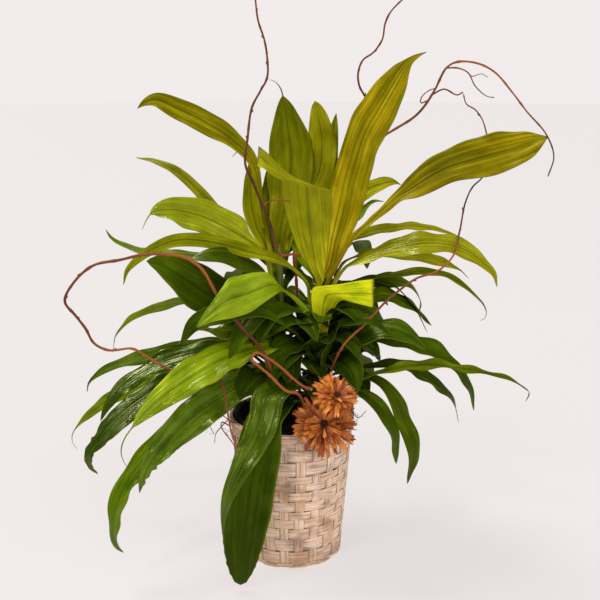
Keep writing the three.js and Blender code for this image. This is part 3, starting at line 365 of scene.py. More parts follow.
# Willow: root radius, tip radius, ripeness of the bark (0 dark, 1 orange), route, side twigs as
# (root radius, tip radius, route).
TWIGS = {
    "willow_loop_left": (3.2, 1.6, 0.7, [
        (-24, -46, 205), (-25, -48, 265), (-27, -54, 330), (-34, -68, 368), (-42, -80, 396),
        (-58, -90, 428), (-84, -94, 458), (-104, -98, 486), (-124, -97, 515), (-148, -94, 558),
        (-170, -93, 576), (-200, -95, 584), (-240, -97, 585), (-285, -95, 575), (-330, -93, 565),
        (-365, -90, 535), (-382, -90, 502), (-365, -92, 478), (-348, -95, 455), (-335, -100, 432),
        (-310, -103, 420), (-270, -98, 421), (-245, -88, 402), (-215, -80, 380),
        (-186, -77, 364), (-160, -78, 360), (-138, -82, 371), (-119, -98, 360),
        (-110, -132, 338), (-105, -144, 312), (-100, -150, 288), (-90, -160, 262),
        (-86, -166, 240)], [
        (1.1, 0.5, [(-105, -144, 312), (-118, -140, 296), (-128, -136, 282), (-131, -130, 262)]),
    ]),
    "willow_tall_left": (3.2, 1.5, 0.5, [
        (12, 16, 205), (14, 14, 300), (12, 14, 400), (10, 12, 470), (8, 8, 524), (6, -16, 560),
        (14, -48, 574), (4, -72, 580), (-20, -82, 582), (-35, -82, 635), (-50, -80, 670),
        (-62, -75, 700), (-75, -70, 730), (-72, -50, 770), (-65, -30, 820), (-52, -15, 845),
        (-40, -5, 868), (-40, 5, 900), (-45, 10, 930), (-55, 15, 960), (-60, 20, 1000)], [
        (1.5, 1.1, [(-46, -81, 664), (-31, -88, 674), (-14, -92, 675), (0, -92, 672)]),
    ]),
    "willow_tall_right": (3.2, 1.4, 0.55, [
        (26, 70, 205), (28, 73, 265), (45, 90, 340), (70, 116, 430), (88, 124, 540),
        (94, 118, 630), (110, 98, 690), (132, 72, 738), (134, 62, 800), (130, 60, 830),
        (119, 60, 850), (116, 60, 872), (124, 60, 895), (142, 60, 908), (157, 60, 930),
        (161, 60, 955), (170, 60, 975), (197, 60, 1002)], [
        (2.4, 1.1, [
            (131, 70, 735), (155, 72, 758), (182, 70, 775), (215, 62, 797), (232, 60, 815),
            (250, 56, 845), (268, 52, 882), (285, 50, 892), (320, 46, 890), (350, 40, 875),
            (382, 35, 840), (406, 30, 810), (442, 26, 770), (457, 25, 732), (449, 25, 698)]),
        (1.4, 0.8, [
            (268, 52, 882), (287, 46, 882), (305, 46, 874), (318, 46, 852), (338, 46, 835),
            (352, 46, 832)]),
        (1.6, 1.1, [(245, 57, 836), (266, 55, 846), (289, 55, 836), (299, 55, 841)]),
        (1.3, 0.8, [
            (238, 59, 826), (227, 66, 822), (229, 68, 832), (240, 62, 843), (252, 56, 848)]),
        (1.0, 0.6, [(305, 46, 874), (312, 50, 868), (330, 54, 872), (341, 54, 866)]),
    ]),
    "willow_thin_right": (2.4, 1.1, 0.7, [
        (62, -34, 205), (63, -38, 265), (68, -52, 355), (90, -75, 420), (130, -84, 465),
        (160, -84, 500), (182, -80, 518), (212, -80, 540), (245, -82, 552), (272, -72, 575),
        (290, -30, 615), (303, 5, 655), (315, 8, 682), (332, 8, 700), (342, 8, 740),
        (337, 20, 772), (330, 26, 795), (318, 30, 812), (302, 32, 822), (296, 34, 840)], []),
    "willow_hairpin_front": (2.6, 2.4, 1.1, [
        (28, -72, 205), (28, -76, 268), (24, -88, 304), (18, -91, 327), (8, -108, 345),
        (-8, -113, 350), (-37, -112, 379), (-54, -112, 394), (-67, -110, 407), (-60, -106, 417),
        (-44, -102, 408), (-20, -99, 390), (0, -97, 370), (20, -96, 353), (36, -95, 346)], []),
}

# Loose roots that hang over the mouth of the basket.
ROOTS = [
    [(-108, -70, 268), (-121, -90, 284), (-120, -112, 282), (-113, -116, 273), (-104, -118, 261),
     (-97, -120, 250), (-92, -124, 232), (-89, -126, 214)],
    [(-104, -50, 266), (-130, -56, 286), (-141, -60, 284), (-144, -70, 269), (-137, -75, 256)],
    [(84, -58, 262), (95, -60, 291), (107, -60, 291), (118, -60, 280), (132, -62, 294)],
]

# Dried flowers: middle, direction it faces, radius, brightness, stalk.
FLOWERS = {
    "dried_flower_low": ((56, -125, 295), (-0.05, -0.88, 0.45), 61, 0.46, [
        (46, -58, 205), (48, -62, 265), (54, -86, 288), (56, -122, 294)]),
    "dried_flower_high": ((77, -135, 351), (0.38, -0.6, 0.72), 46, 0.54, [
        (58, -50, 205), (60, -53, 265), (64, -63, 315), (69, -88, 353), (76, -132, 351)]),
}

# Rings of petals: count, reach and width as shares of the flower's radius, rise of the tips.
PETAL_RINGS = [
    (24, 1.02, 0.17, -0.12),
    (20, 0.9, 0.17, 0.02),
    (17, 0.7, 0.16, 0.22),
    (13, 0.46, 0.14, 0.6),
]

# ------------------------------------------------------------------------------------------
# Shapes
# ------------------------------------------------------------------------------------------

CURVE_SAMPLES = 33


def unit(vectors):
    """The same vectors with length one."""
    return vectors / np.maximum(np.linalg.norm(vectors, axis=-1, keepdims=True), 1e-12)


def smoothstep(low, high, value):
    """0 below low, 1 above high, and a soft rise between them."""
    t = np.clip((np.asarray(value, float) - low) / (high - low), 0, 1)
    return t * t * (3 - 2 * t)


def ripple(rng, count, lowest, highest):
    """A smooth random function of one variable, about -1 to 1, from a few sine waves."""
    pitch = rng.uniform(lowest, highest, count)
    phase = rng.uniform(0, FULL_TURN, count)
    return lambda x: np.sin(np.multiply.outer(x, pitch) + phase).sum(-1) / count ** 0.5


def full_circle(count):
    """Even angles once round."""
    return np.linspace(0, FULL_TURN, count, endpoint=False)


def outward(angle):
    """The level direction at an angle from +X."""
    return np.stack([np.cos(angle), np.sin(angle), np.zeros_like(angle, float)], -1)


def smooth_route(points, step=None, count=None):
    """Even points, tangents and the length of a centripetal Catmull-Rom curve through points."""
    p = np.array(points, float)
    ghost = np.vstack([2 * p[0] - p[1], p, 2 * p[-1] - p[-2]])
    knots = np.maximum(np.linalg.norm(np.diff(ghost, axis=0), axis=1), 1e-4) ** 0.5
    t = np.linspace(0, 1, CURVE_SAMPLES)[:, None]
    dense = [p[:1]]
    for i in range(len(p) - 1):
        x0, x1, x2, x3 = ghost[i:i + 4]
        d0, d1, d2 = knots[i:i + 3]
        m1 = ((x1 - x0) / d0 - (x2 - x0) / (d0 + d1) + (x2 - x1) / d1) * d1
        m2 = ((x2 - x1) / d1 - (x3 - x1) / (d1 + d2) + (x3 - x2) / d2) * d1
        curve = (2 * t ** 3 - 3 * t ** 2 + 1) * x1 + (t ** 3 - 2 * t ** 2 + t) * m1
        curve += (3 * t ** 2 - 2 * t ** 3) * x2 + (t ** 3 - t ** 2) * m2
        dense.append(curve[1:])
    dense = np.vstack(dense)
    reached = np.r_[0, np.cumsum(np.linalg.norm(np.diff(dense, axis=0), axis=1))]
    length = reached[-1]
    count = count or max(6, round(length / step) + 1)
    at = np.linspace(0, length, count)
    even = np.stack([np.interp(at, reached, column) for column in dense.T], axis=1)
    return even, unit(np.gradient(even, axis=0)), length


def carried_normals(tangents, first):
    """Normals along a curve that follow its bends without turning about it."""
    normals = []
    normal = Vector(first)
    last = None
    for tangent in map(Vector, tangents):
        if last is not None:
            normal = last.rotation_difference(tangent) @ normal
        normal = (normal - tangent * normal.dot(tangent)).normalized()
        normals.append(normal)
        last = tangent
    return np.array(normals)


def rolled(normals, tangents, angles):
    """Normals turned about their tangents by angles, in radians."""
    c, s = np.cos(angles)[:, None], np.sin(angles)[:, None]
    return normals * c + np.cross(tangents, normals) * s


def grid_quads(index):
    """The quads of a grid of vertex numbers."""
    corners = [index[:-1, :-1], index[1:, :-1], index[1:, 1:], index[:-1, 1:]]
    return np.stack(corners, -1).reshape(-1, 4)


def lofted_faces(rings, sides, closed):
    """Faces that join rings of points, numbered ring by ring, with caps unless the path closes."""
    index = np.arange(rings * sides).reshape(rings, sides)
    index = np.hstack([index, index[:, :1]])
    if closed:
        return grid_quads(np.vstack([index, index[:1]])).tolist()
    ends = [index[0, :-1].tolist(), index[-1, :-1][::-1].tolist()]
    return grid_quads(index).tolist() + ends


def enclosed_volume(points, faces):
    """The volume inside closed faces, negative where they look inward."""
    fans = [(face[0], b, c) for face in faces for b, c in zip(face[1:], face[2:])]
    a, b, c = (points - points.mean(axis=0))[np.array(fans)].transpose(1, 0, 2)
    return np.einsum("ij,ij->", a, np.cross(b, c)) / 6


def marks(rings, *numbers):
    """Three numbers for each point of some rings; each may vary by ring, by point, or not."""
    return np.stack([np.broadcast_to(number, rings.shape[:2]) for number in numbers], -1)


class Shape:
    """Collects closed solids, in millimetres, and turns them into one mesh object."""

    def __init__(self):
        self.points, self.faces, self.fields, self.count = [], [], {}, 0

    def add(self, points, faces, **fields):
        """Adds a solid, its faces turned outward; each field is a value or one for each point."""
        points = np.asarray(points, float).reshape(-1, 3)
        if enclosed_volume(points, faces) < 0:
            faces = [face[::-1] for face in faces]
        self.points.append(points)
        self.faces += [[corner + self.count for corner in face] for face in faces]
        self.count += len(points)
        for name, value in fields.items():
            value = np.asarray(value, float)
            width = (3,) if value.shape[-1:] == (3,) else ()
            spread = np.broadcast_to(value.reshape(-1, *width), (len(points), *width))
            self.fields.setdefault(name, []).append(spread)

    def loft(self, rings, closed=False, **fields):
        """Adds a solid through an array of rings of points."""
        self.add(rings, lofted_faces(*rings.shape[:2], closed), **fields)

    def build(self, name, material, slot, replaces=()):
        """Makes the object, sets its material, and lets it ride on the body."""
        mesh = bpy.data.meshes.new(name)
        mesh.from_pydata((np.vstack(self.points) * MM).tolist(), [], self.faces)
        for field, parts in self.fields.items():
            values = np.concatenate(parts).astype(np.float32)
            kind, key = ("FLOAT_VECTOR", "vector") if values.ndim == 2 else ("FLOAT", "value")
            mesh.attributes.new(field, kind, "POINT").data.foreach_set(key, values.ravel())
        mesh.polygons.foreach_set("use_smooth", [True] * len(mesh.polygons))
        mesh.materials.append(material)
        mesh.update()
        piece = bpy.data.objects.new(name, mesh)
        bpy.context.scene.collection.objects.link(piece)
        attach(piece, "root")
        if replaces:
            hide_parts(*replaces)
        return piece


def tube_rings(centres, tangents, radii, sides, first=(0.3, 1, 0.1)):
    """Rings of points around a path."""
    normals = carried_normals(tangents, first)
    across = np.cross(normals, tangents)
    angle = full_circle(sides)[:, None]
    spokes = normals[:, None] * np.sin(angle) + across[:, None] * np.cos(angle)
    return centres[:, None] + spokes * np.broadcast_to(radii, len(centres))[:, None, None]


# ------------------------------------------------------------------------------------------
# Materials
# ------------------------------------------------------------------------------------------


class Recipe:
    """A material under construction, with one short call for each kind of node."""

    def __init__(self, name):
        self.material = bpy.data.materials.new(name)
        self.material.use_nodes = True
        self.tree = self.material.node_tree
        self.shader = self.tree.nodes["Principled BSDF"]

    def feed(self, socket, value):
        """Links a socket, or sets it to a plain value."""
        if isinstance(value, bpy.types.NodeSocket):
            self.tree.links.new(value, socket)
        elif value is not None:
            socket.default_value = value

    def node(self, kind, inputs, output=0, **options):
        """Adds a node, feeds its inputs by number or name, and returns one of its outputs."""
        made = self.tree.nodes.new(kind)
        for name, value in options.items():
            setattr(made, name, value)
        for key, value in inputs.items():
            self.feed(made.inputs[key], value)
        return made.outputs[output]

    def field(self, name, output="Fac"):
        """A number or a vector stored on the mesh."""
        return self.node("ShaderNodeAttribute", {}, output, attribute_name=name)

    def place(self):
        """The point's place on the object."""
        return self.node("ShaderNodeTexCoord", {}, "Object")

    def parts(self, vector):
        """The three numbers of a vector."""
        made = self.tree.nodes.new("ShaderNodeSeparateXYZ")
        self.feed(made.inputs[0], vector)
        return made.outputs

    def math(self, operation, a, b=None):
        """The result of a sum on one or two numbers."""
        return self.node("ShaderNodeMath", {0: a, 1: b}, operation=operation)

    def total(self, value, *others):
        """The sum of several numbers."""
        for other in others:
            value = self.math("ADD", value, other)
        return value

    def swing(self, noise, reach):
        """A noise moved to around zero, times its reach."""
        return self.math("MULTIPLY", self.math("SUBTRACT", noise, 0.5), reach)

    def stretched(self, vector, factors):
        """A vector multiplied by factors."""
        return self.node("ShaderNodeVectorMath", {0: vector, 1: factors}, operation="MULTIPLY")

    def noise(self, vector, scale=1.0, detail=2.0, roughness=0.5):
        """Soft random values around a half."""
        inputs = {"Vector": vector, "Scale": scale, "Detail": detail, "Roughness": roughness}
        return self.node("ShaderNodeTexNoise", inputs, "Fac")

    def grain(self, first, second, seed, detail=2.0):
        """Noise over two distances on a piece, each paired with its own scale."""
        x, y = (self.math("MULTIPLY", *pair) for pair in (first, second))
        return self.noise(self.node("ShaderNodeCombineXYZ", {0: x, 1: y, 2: seed}), detail=detail)

    def cells(self, vector, scale):
        """The distance from the middle of the nearest of many random cells."""
        return self.node("ShaderNodeTexVoronoi", {"Vector": vector, "Scale": scale}, "Distance")

    def between(self, value, low, high, start=0.0, stop=1.0):
        """A value's place between low and high, carried to start and stop with soft ends."""
        inputs = {0: value, 1: low, 2: high, 3: start, 4: stop}
        return self.node("ShaderNodeMapRange", inputs, interpolation_type="SMOOTHSTEP")

    def ramp(self, value, stops):
        """A colour from stops of (place, colour)."""
        made = self.tree.nodes.new("ShaderNodeValToRGB")
        elements = made.color_ramp.elements
        while len(elements) < len(stops):
            elements.new(0.5)
        for element, (position, color) in zip(elements, stops):
            element.position = position
            element.color = (*color, 1)
        self.feed(made.inputs[0], value)
        return made.outputs["Color"]

    def mix(self, factor, a, b):
        """Two colours, mixed."""
        a, b = (c if isinstance(c, bpy.types.NodeSocket) else (*c, 1) for c in (a, b))
        return self.node("ShaderNodeMix", {0: factor, 6: a, 7: b}, 2, data_type="RGBA")

    def bump(self, height, distance, strength=1.0, under=None):
        """A normal that leans with the height."""
        inputs = {"Height": height, "Distance": distance, "Strength": strength, "Normal": under}
        return self.node("ShaderNodeBump", inputs)

    def finish(self, color, roughness, normal=None, **shader):
        """Feeds the shader; the shader's own numbers go straight onto its sockets."""
        self.feed(self.shader.inputs["Base Color"], color)
        self.feed(self.shader.inputs["Roughness"], roughness)
        self.feed(self.shader.inputs["Normal"], normal)
        for name, value in shader.items():
            socket = name.replace("_", " ").title().replace("Ior", "IOR")
            self.shader.inputs[socket].default_value = value
        return self.material


# The gloss from which a leaf has the glossier finish.
GLOSSY_FROM = 0.6


def finish(name, recipe, *details):
    """The material of that name, made by its recipe the first time it is asked for."""
    return bpy.data.materials.get(name) or recipe(name, *details)


def leaf_blade(name, look, gloss):
    """A leaf blade: parallel veins, uneven green by age, pale margins, painted shade along the midrib
    groove, duller back.
    """
    r = Recipe(name)
    across, along, seed = r.parts(r.field("blade", "Vector"))
    vein, under = r.field("vein"), r.field("under")
    fine = r.grain((vein, 1300), (along, 9), seed)
    broad = r.grain((vein, 210), (along, 5), seed)
    patch = r.grain((vein, 45), (along, 22), seed, detail=4)
    crease = r.grain((vein, 420), (along, 16), seed, detail=0.6)
    striped = r.between(r.field("gold"), 0.5, 1.0, 0.42, 1.1)
    light = r.total(
        r.field("tone"), r.swing(broad, striped), r.swing(fine, 0.3), r.swing(patch, 0.55))
    green = r.ramp(light, [
        (0.0, look.deep), (0.3, look.mature), (0.55, look.fresh), (0.8, look.bright),
        (1.0, look.pale)])
    golden = r.ramp(light, [
        (0.0, look.old_gold), (0.45, look.olive), (0.75, look.gold), (1.0, look.young)])
    color = r.mix(r.field("gold"), green, golden)
    edge = r.between(r.math("ABSOLUTE", across), 0.9, 1.0, 0, 0.3)
    color = r.mix(edge, color, look.margin)
    # Painted shade: the line along the midrib, where the blade has its groove, is mixed towards the
    # deep green.
    groove = r.between(r.math("ABSOLUTE", vein), 0.0022, 0.0005, 0, 0.5)
    color = r.mix(groove, color, look.deep)
    color = r.mix(r.math("MULTIPLY", under, 0.12), color, look.underside)
    color = r.mix(r.field("wear"), color, look.withered)
    rough = r.between(patch, 0.3, 0.7, 0.48 - 0.34 * gloss, 0.62 - 0.3 * gloss)
    rough = r.total(rough, r.math("MULTIPLY", under, 0.15))
    normal = r.bump(fine, 0.0003, 0.3 - 0.22 * gloss)
    normal = r.bump(broad, 0.002, 0.5, normal)
    normal = r.bump(patch, 0.005, 0.25 + 0.45 * gloss, normal)
    normal = r.bump(crease, 0.0025, 0.6 * gloss ** 2, normal)
    return r.finish(color, rough, normal, specular_ior_level=0.06 + 0.8 * gloss ** 2,
                    specular_tint=(0.95, 1.0, 0.5 * gloss ** 2, 1.0))


def leaf_finish(item, look):
    """The glossier or the duller finish, as the leaf's own gloss asks."""
    if item.gloss > GLOSSY_FROM:
        return finish("leaf_glossy", leaf_blade, look, look.gloss_high)
    return finish("leaf_satin", leaf_blade, look, look.gloss_low)


def green_cane(name, look):
    """A green cane with pale rings and brown scars where leaves have dropped."""
    r = Recipe(name)
    angle, height, seed = r.parts(r.field("stem", "Vector"))
    grain = r.grain((angle, 9), (height, 60), seed, detail=4)
    color = r.ramp(grain, [(0.25, look.cane_dark), (0.7, look.cane)])
    color = r.mix(r.field("scar"), color, look.scar)
    return r.finish(color, r.between(grain, 0.3, 0.7, 0.4, 0.6), r.bump(grain, 0.001, 0.5))


def whitewashed_splint(name, look):
    """Whitewashed wood splint: long grain, grey-purple streaks, ochre spots, tan worn places, tan
    edges that are partly painted shade between strips, and tan towards the foot.
    """
    r = Recipe(name)
    along, across, seed = r.parts(r.field("strip", "Vector"))
    place = r.place()
    grain = r.grain((along, 22), (across, 1500), seed, detail=5)
    band = r.grain((along, 16), (across, 260), seed, detail=3)
    streak = r.grain((along, 30), (across, 420), seed, detail=3)
    cloud = r.noise(place, 26, 3)
    blot = r.noise(r.stretched(place, (1, 1, 3)), 34, 4)
    soot = r.noise(r.stretched(place, (1, 1, 1.6)), 17, 3)
    color = r.ramp(band, [(0.2, look.splint_tan), (0.42, look.splint), (0.66, look.splint_pale)])
    color = r.mix(r.between(grain, 0.5, 0.32, 0, 0.28), color, look.splint_tan)
    color = r.mix(r.between(cloud, 0.5, 0.66, 0, 0.55), color, look.splint_tan)
    color = r.mix(r.between(blot, 0.6, 0.74, 0, 0.6), color, look.splint_ochre)
    stained = r.between(soot, 0.48, 0.62, 0, 0.7)
    stained = r.math("MULTIPLY", stained, r.between(streak, 0.4, 0.62, 0.15, 1))
    color = r.mix(stained, color, look.splint_stain)
    # The edges of each strip turn tan: worn wood where the whitewash thins, and painted shade of the
    # dark gaps between strips.
    edge = r.between(r.math("ABSOLUTE", r.field("edge")), 0.86, 1.0, 0, 0.6)
    color = r.mix(edge, color, look.splint_tan)
    # Darker towards the bottom: the lowest 5 cm of the basket are mixed towards tan.
    height = r.parts(place)[2]
    color = r.mix(r.between(height, 0.05, 0.0, 0, 0.4), color, look.splint_tan)
    normal = r.bump(band, 0.0015, 0.5, r.bump(grain, 0.0008, 0.7))
    rough = r.between(grain, 0.3, 0.7, 0.72, 0.92)
    return r.finish(color, rough, normal, specular_ior_level=0.2)


def willow_bark(name, look):
    """Willow bark: thin and smooth, dark red-brown on old wood and orange on young wood."""
    r = Recipe(name)
    angle, along, seed = r.parts(r.field("stem", "Vector"))
    grain = r.grain((angle, 4), (along, 130), seed, detail=4)
    patch = r.grain((angle, 1), (along, 22), seed, detail=3)
    ripe = r.total(r.field("tone"), r.swing(patch, 0.9))
    color = r.ramp(ripe, [(0.0, look.bark_dark), (0.5, look.bark), (1.0, look.bark_orange)])
    color = r.mix(r.between(grain, 0.6, 0.75, 0, 0.35), color, look.bark_dark)
    color = r.mix(r.field("cut"), color, look.cut_wood)
    rough = r.between(grain, 0.3, 0.7, 0.4, 0.6)
    return r.finish(color, rough, r.bump(grain, 0.0006, 0.6), specular_ior_level=0.3)


def dried_petal(name, look):
    """Dried wood-shaving petals: orange brown with dark roots, fine grain and a thin varnish."""
    r = Recipe(name)
    along, across, seed = r.parts(r.field("strip", "Vector"))
    grain = r.grain((along, 60), (across, 1500), seed, detail=4)
    patch = r.grain((along, 70), (across, 160), seed, detail=3)
    light = r.total(r.field("tone"), r.swing(patch, 0.8), r.swing(grain, 0.5))
    color = r.ramp(light, [(0.0, look.petal_dark), (0.4, look.petal), (0.95, look.petal_light)])
    return r.finish(color, r.between(grain, 0.3, 0.7, 0.22, 0.5), r.bump(grain, 0.0007, 0.7))


def flower_heart(name, look):
    """The seedy middle of a dried flower."""
    r = Recipe(name)
    seeds = r.cells(r.place(), 700)
    color = r.ramp(seeds, [(0.1, look.heart_light), (0.6, look.heart)])
    return r.finish(color, 0.85, r.bump(seeds, 0.001, 0.8))


def litter(name, dark, light, scale):
    """Loose dark matter, such as soil, bark crumbs or dry moss."""
    r = Recipe(name)
    crumbs = r.noise(r.place(), scale, 5, 0.65)
    spots = r.noise(r.place(), scale * 0.12, 2)
    color = r.mix(r.between(spots, 0.4, 0.65), r.ramp(crumbs, [(0.35, dark), (0.75, light)]), dark)
    return r.finish(color, r.between(crumbs, 0.3, 0.7, 0.85, 1.0), r.bump(crumbs, 0.002, 0.9))


def dusty_plastic(name, color, dusty, roughness):
    """Thin moulded plastic with a dusty bloom."""
    r = Recipe(name)
    dust = r.noise(r.place(), 60, 4)
    shade = r.mix(r.between(dust, 0.45, 0.75, 0, 0.6), color, dusty)
    rough = r.between(dust, 0.3, 0.7, roughness, roughness + 0.2)
    return r.finish(shade, rough, r.bump(r.noise(r.place(), 300, 2), 0.0003, 0.4))


def pale_floor(name, look):
    """A plain pale floor with a light of its own, which softens shadows."""
    r = Recipe(name)
    shaded = tuple(part * 0.985 for part in look.floor)
    shade = r.ramp(r.noise(r.place(), 3, 2), [(0.3, shaded), (0.7, look.floor)])
    return r.finish(shade, 0.6, emission_color=(*look.floor_glow, 1), emission_strength=1.0)


# ------------------------------------------------------------------------------------------
# Leaves
# ------------------------------------------------------------------------------------------

# The share of a leaf's length where its blade begins to widen.
BLADE_START = 0.03
# How much longer a curve through pairs of points is than the leaf between them.
PAIR_STRETCH = 1.4


def cane_radius(height):
    """The radius of a cane at a height."""
    slim = smoothstep(CANE_FOOT, CANE_SLIM_HEIGHT, height)
    return CANE_FOOT_RADIUS + (CANE_TOP_RADIUS - CANE_FOOT_RADIUS) * slim


def leaf_base(cane, bearing, height):
    """The first two points of a leaf, on the cane and just off it, and the way out."""
    x, y, _ = CANES[cane]
    out = outward(math.radians(bearing))
    base = np.array((x, y, height)) + out * (cane_radius(height) + GAP + SHEATH_OFFSET)
    return base, base + out * NECK_REACH + UP * NECK_RISE, out


def leaf_half_width(item, along):
    """Half the width of the blade at shares of its length."""
    blown = np.clip((along - BLADE_START) / (item.end - BLADE_START), 0, 1)
    blade = item.width * np.sin(np.pi * blown ** item.peak).clip(0) ** item.blunt
    tip = np.clip((blown - 0.9) / 0.1, 0, 1)
    snubbed = item.width * item.snub * np.sqrt(1 - tip ** 4) * (blown > 0.5)
    sheath = SHEATH_WIDTH + (NECK_WIDTH - SHEATH_WIDTH) * smoothstep(0, 0.06, along)
    neck = sheath * (1 - smoothstep(0.05, 0.35, along))
    thread = np.where(along > item.end - 0.03, THREAD_WIDTH, TIP_WIDTH)
    thread = thread * (1 - 0.7 * smoothstep(0.9, 1, along))
    return np.maximum.reduce([blade, snubbed, neck, thread]) / 2


def margin_course(item, look):
    """The course of a folded leaf, from its margins."""
    pairs = np.array(item.margins, float).reshape(-1, 6)
    pairs, _, length = smooth_route(pairs, step=look.leaf_spacing * PAIR_STRETCH)
    left, right = pairs[:, :3], pairs[:, 3:]
    centres = (left + right) / 2
    side = unit(right - left)
    normals = unit(np.cross(unit(np.gradient(centres, axis=0)), side))
    half = np.linalg.norm(right - left, axis=1, keepdims=True) / 2
    return centres, normals, side, half.repeat(look.leaf_columns, axis=1), length / PAIR_STRETCH


def leaf_course(item, look, rng):
    """Centres, normals, sideways directions, half widths at each column, and the length."""
    if item.margins:
        return margin_course(item, look)
    base, neck, out = leaf_base(item.cane, item.bearing, item.height)
    centres, tangents, length = smooth_route([base, neck, *item.midrib], step=look.leaf_spacing)
    s = np.linspace(0, 1, len(centres))
    sway = ripple(rng, 3, 5, 11)(s) * smoothstep(0.1, 0.4, s)
    turn, turn_start, turn_end = item.twist
    angles = item.roll * smoothstep(0.1, 0.5, s) + turn * smoothstep(turn_start, turn_end, s)
    angles = np.radians(angles) + look.leaf_sway * sway
    normals = rolled(carried_normals(tangents, -out), tangents, angles)
    halves = []
    for _ in range(2):
        half = leaf_half_width(item, s)
        half *= 1 + 0.04 * ripple(rng, 4, 12, 30)(s) * smoothstep(0.15, 0.3, s)
        torn = item.ragged * smoothstep(0.7, 0.95, s)
        halves.append(half * (1 - torn * np.abs(ripple(rng, 4, 40, 120)(s)) * 0.6))
    left = np.linspace(-1, 1, look.leaf_columns) < 0
    half = np.where(left, halves[0][:, None], halves[1][:, None])
    return centres, normals, np.cross(normals, tangents), half, length


def leaf_relief(item, look, s, a, half, length, rng):
    """How far a blade stands off its course: a channel, long folds and waves of the margins.

    s is the place along the leaf, from 0 to 1, and a the place across it, from -1 to 1.
    """
    reach = np.clip(half.min(axis=1, keepdims=True) / FULL_RELIEF_HALF_WIDTH, 0, 1)
    shown = reach * smoothstep(0.08, 0.3, s) * (1 - smoothstep(0.88, 1, s))
    channel = 0.85 - 0.7 * smoothstep(0, 0.3, s)
    lift = (np.hypot(a, CHANNEL_ROUND) - CHANNEL_ROUND) * channel * half - 0.07 * half * a ** 4
    for sign in (-1, 1):
        out = np.clip(a * sign, 0, None)
        drift = ripple(rng, 3, 2, 7)(s)
        strength = 0.65 + 0.35 * ripple(rng, 3, 3, 9)(s)
        folds = np.sin(FULL_TURN * look.leaf_folds * out ** 0.85 + 0.9 * drift) * (1 - out ** 6)
        lift += item.pleat * look.leaf_pleat * strength * shown * folds * (out > 0)
        beats = ripple(rng, 3, 0.055, 0.12)(s * length)
        lift += item.wave * look.leaf_wave * beats * shown * out ** 2.5
    return lift, reach


def leaf_surface(shape, item, look, rng):
    """Adds one leaf as a closed blade with veins, folds, wavy margins and a raised midrib."""
    centres, normals, side, half, length = leaf_course(item, look, rng)
    rows, columns = half.shape
    s, a = np.linspace(0, 1, rows)[:, None], np.linspace(-1, 1, columns)[None]
    lift, reach = leaf_relief(item, look, s, a, half, length, rng)
    normals = normals[:, None]
    points = centres[:, None] + side[:, None] * (a * half)[..., None] + normals * lift[..., None]
    rib = look.leaf_rib * (1 - 0.8 * s) * np.exp(-(a * half / RIB_HALF_WIDTH) ** 2)
    groove = look.leaf_groove * reach * np.exp(-(a * half / GROOVE_HALF_WIDTH) ** 2)
    below = points - normals * (look.leaf_thickness + rib)[..., None]
    points = points - normals * groove[..., None]

    upper = np.arange(rows * columns).reshape(rows, columns)
    lower = upper.copy()
    inner = (rows - 2) * (columns - 2)
    lower[1:-1, 1:-1] = (rows * columns + np.arange(inner)).reshape(rows - 2, columns - 2)
    faces = np.vstack([grid_quads(upper), grid_quads(lower)[:, ::-1]]).tolist()

    blade = marks(points, a, s * length * MM, rng.uniform(0, 90))
    tone = item.tone * (1.1 - 0.1 * smoothstep(0, 0.2, s)) + 0.05 * ripple(rng, 3, 3, 9)(s)
    tone += 0.25 * item.gold * (1 - smoothstep(0.05, 0.55, s))
    tip = smoothstep(0.985 - 0.03 * item.ragged, 1, s)
    torn = item.ragged * smoothstep(0.8, 0.98, s) * smoothstep(0.75, 1, np.abs(a))

    def both(field):
        """A field of the upper face, and again for the inside of the lower one."""
        field = np.broadcast_to(field, (rows, columns, *field.shape[2:]))
        inside = field[1:-1, 1:-1].reshape(inner, -1)
        return np.concatenate([field.reshape(rows * columns, -1), inside])

    points = np.vstack([points.reshape(-1, 3), below[1:-1, 1:-1].reshape(-1, 3)])
    shape.add(points, faces, blade=both(blade), vein=both(a * np.sqrt(half * item.width / 2) * MM),
              tone=both(tone), wear=both(np.clip(0.75 * tip + 0.6 * torn, 0, 1)),
              under=np.repeat((0, 1), (rows * columns, inner)), gold=item.gold)


def arching_leaf(cane, bearing, height, length, lift, droop, width, tone, rng):
    """A leaf whose midrib rises from the cane at a slope and arches down under its weight."""
    _, neck, out = leaf_base(cane, bearing, height)
    swerve = np.cross(UP, out) * rng.uniform(-0.25, 0.25) * length
    midrib = []
    for share in (0.22, 0.42, 0.62, 0.82, 1.0):
        along = out * length * (share - 0.12 * share ** 3) + swerve * share ** 2
        rise = UP * length * (lift * share - droop * share ** 2.2)
        midrib.append(neck + along + rise)
    roll = rng.uniform(-25, 25)
    return leaf("small", cane, bearing, height, width, roll, tone, midrib,
                wave=rng.uniform(0.6, 1.6), pleat=rng.uniform(0.2, 0.6))


def filler_leaves(rows, rng):
    """The leaves of one group of small leaves, spread by the golden ratio."""
    made = []
    for cane, count, low, high, start, arc, shortest, longest, lift, droop, tone in rows:
        for k in range(count):
            share = (k + 0.5) / count
            bearing = start + arc * ((k * GOLDEN_SHARE + 0.3) % 1)
            length = shortest + (longest - shortest) * rng.random()
            made.append(arching_leaf(
                cane, bearing, low + (high - low) * share, length,
                lift * rng.uniform(0.85, 1.15), droop * rng.uniform(0.8, 1.2),
                rng.uniform(34, 52), tone + 0.25 * (share - 0.5) + rng.uniform(-0.05, 0.05), rng))
    return made


# ------------------------------------------------------------------------------------------
# Canes, twigs, flowers
# ------------------------------------------------------------------------------------------

PETAL_ROWS, PETAL_COLUMNS = 9, 7
PETAL_THICKNESS = 0.7
HEART_SEEDS = 70
HEART_SHARE = 0.13
STALK_ROOT, STALK_TIP = 2.0, 1.8
STALK_RIPENESS = 0.2


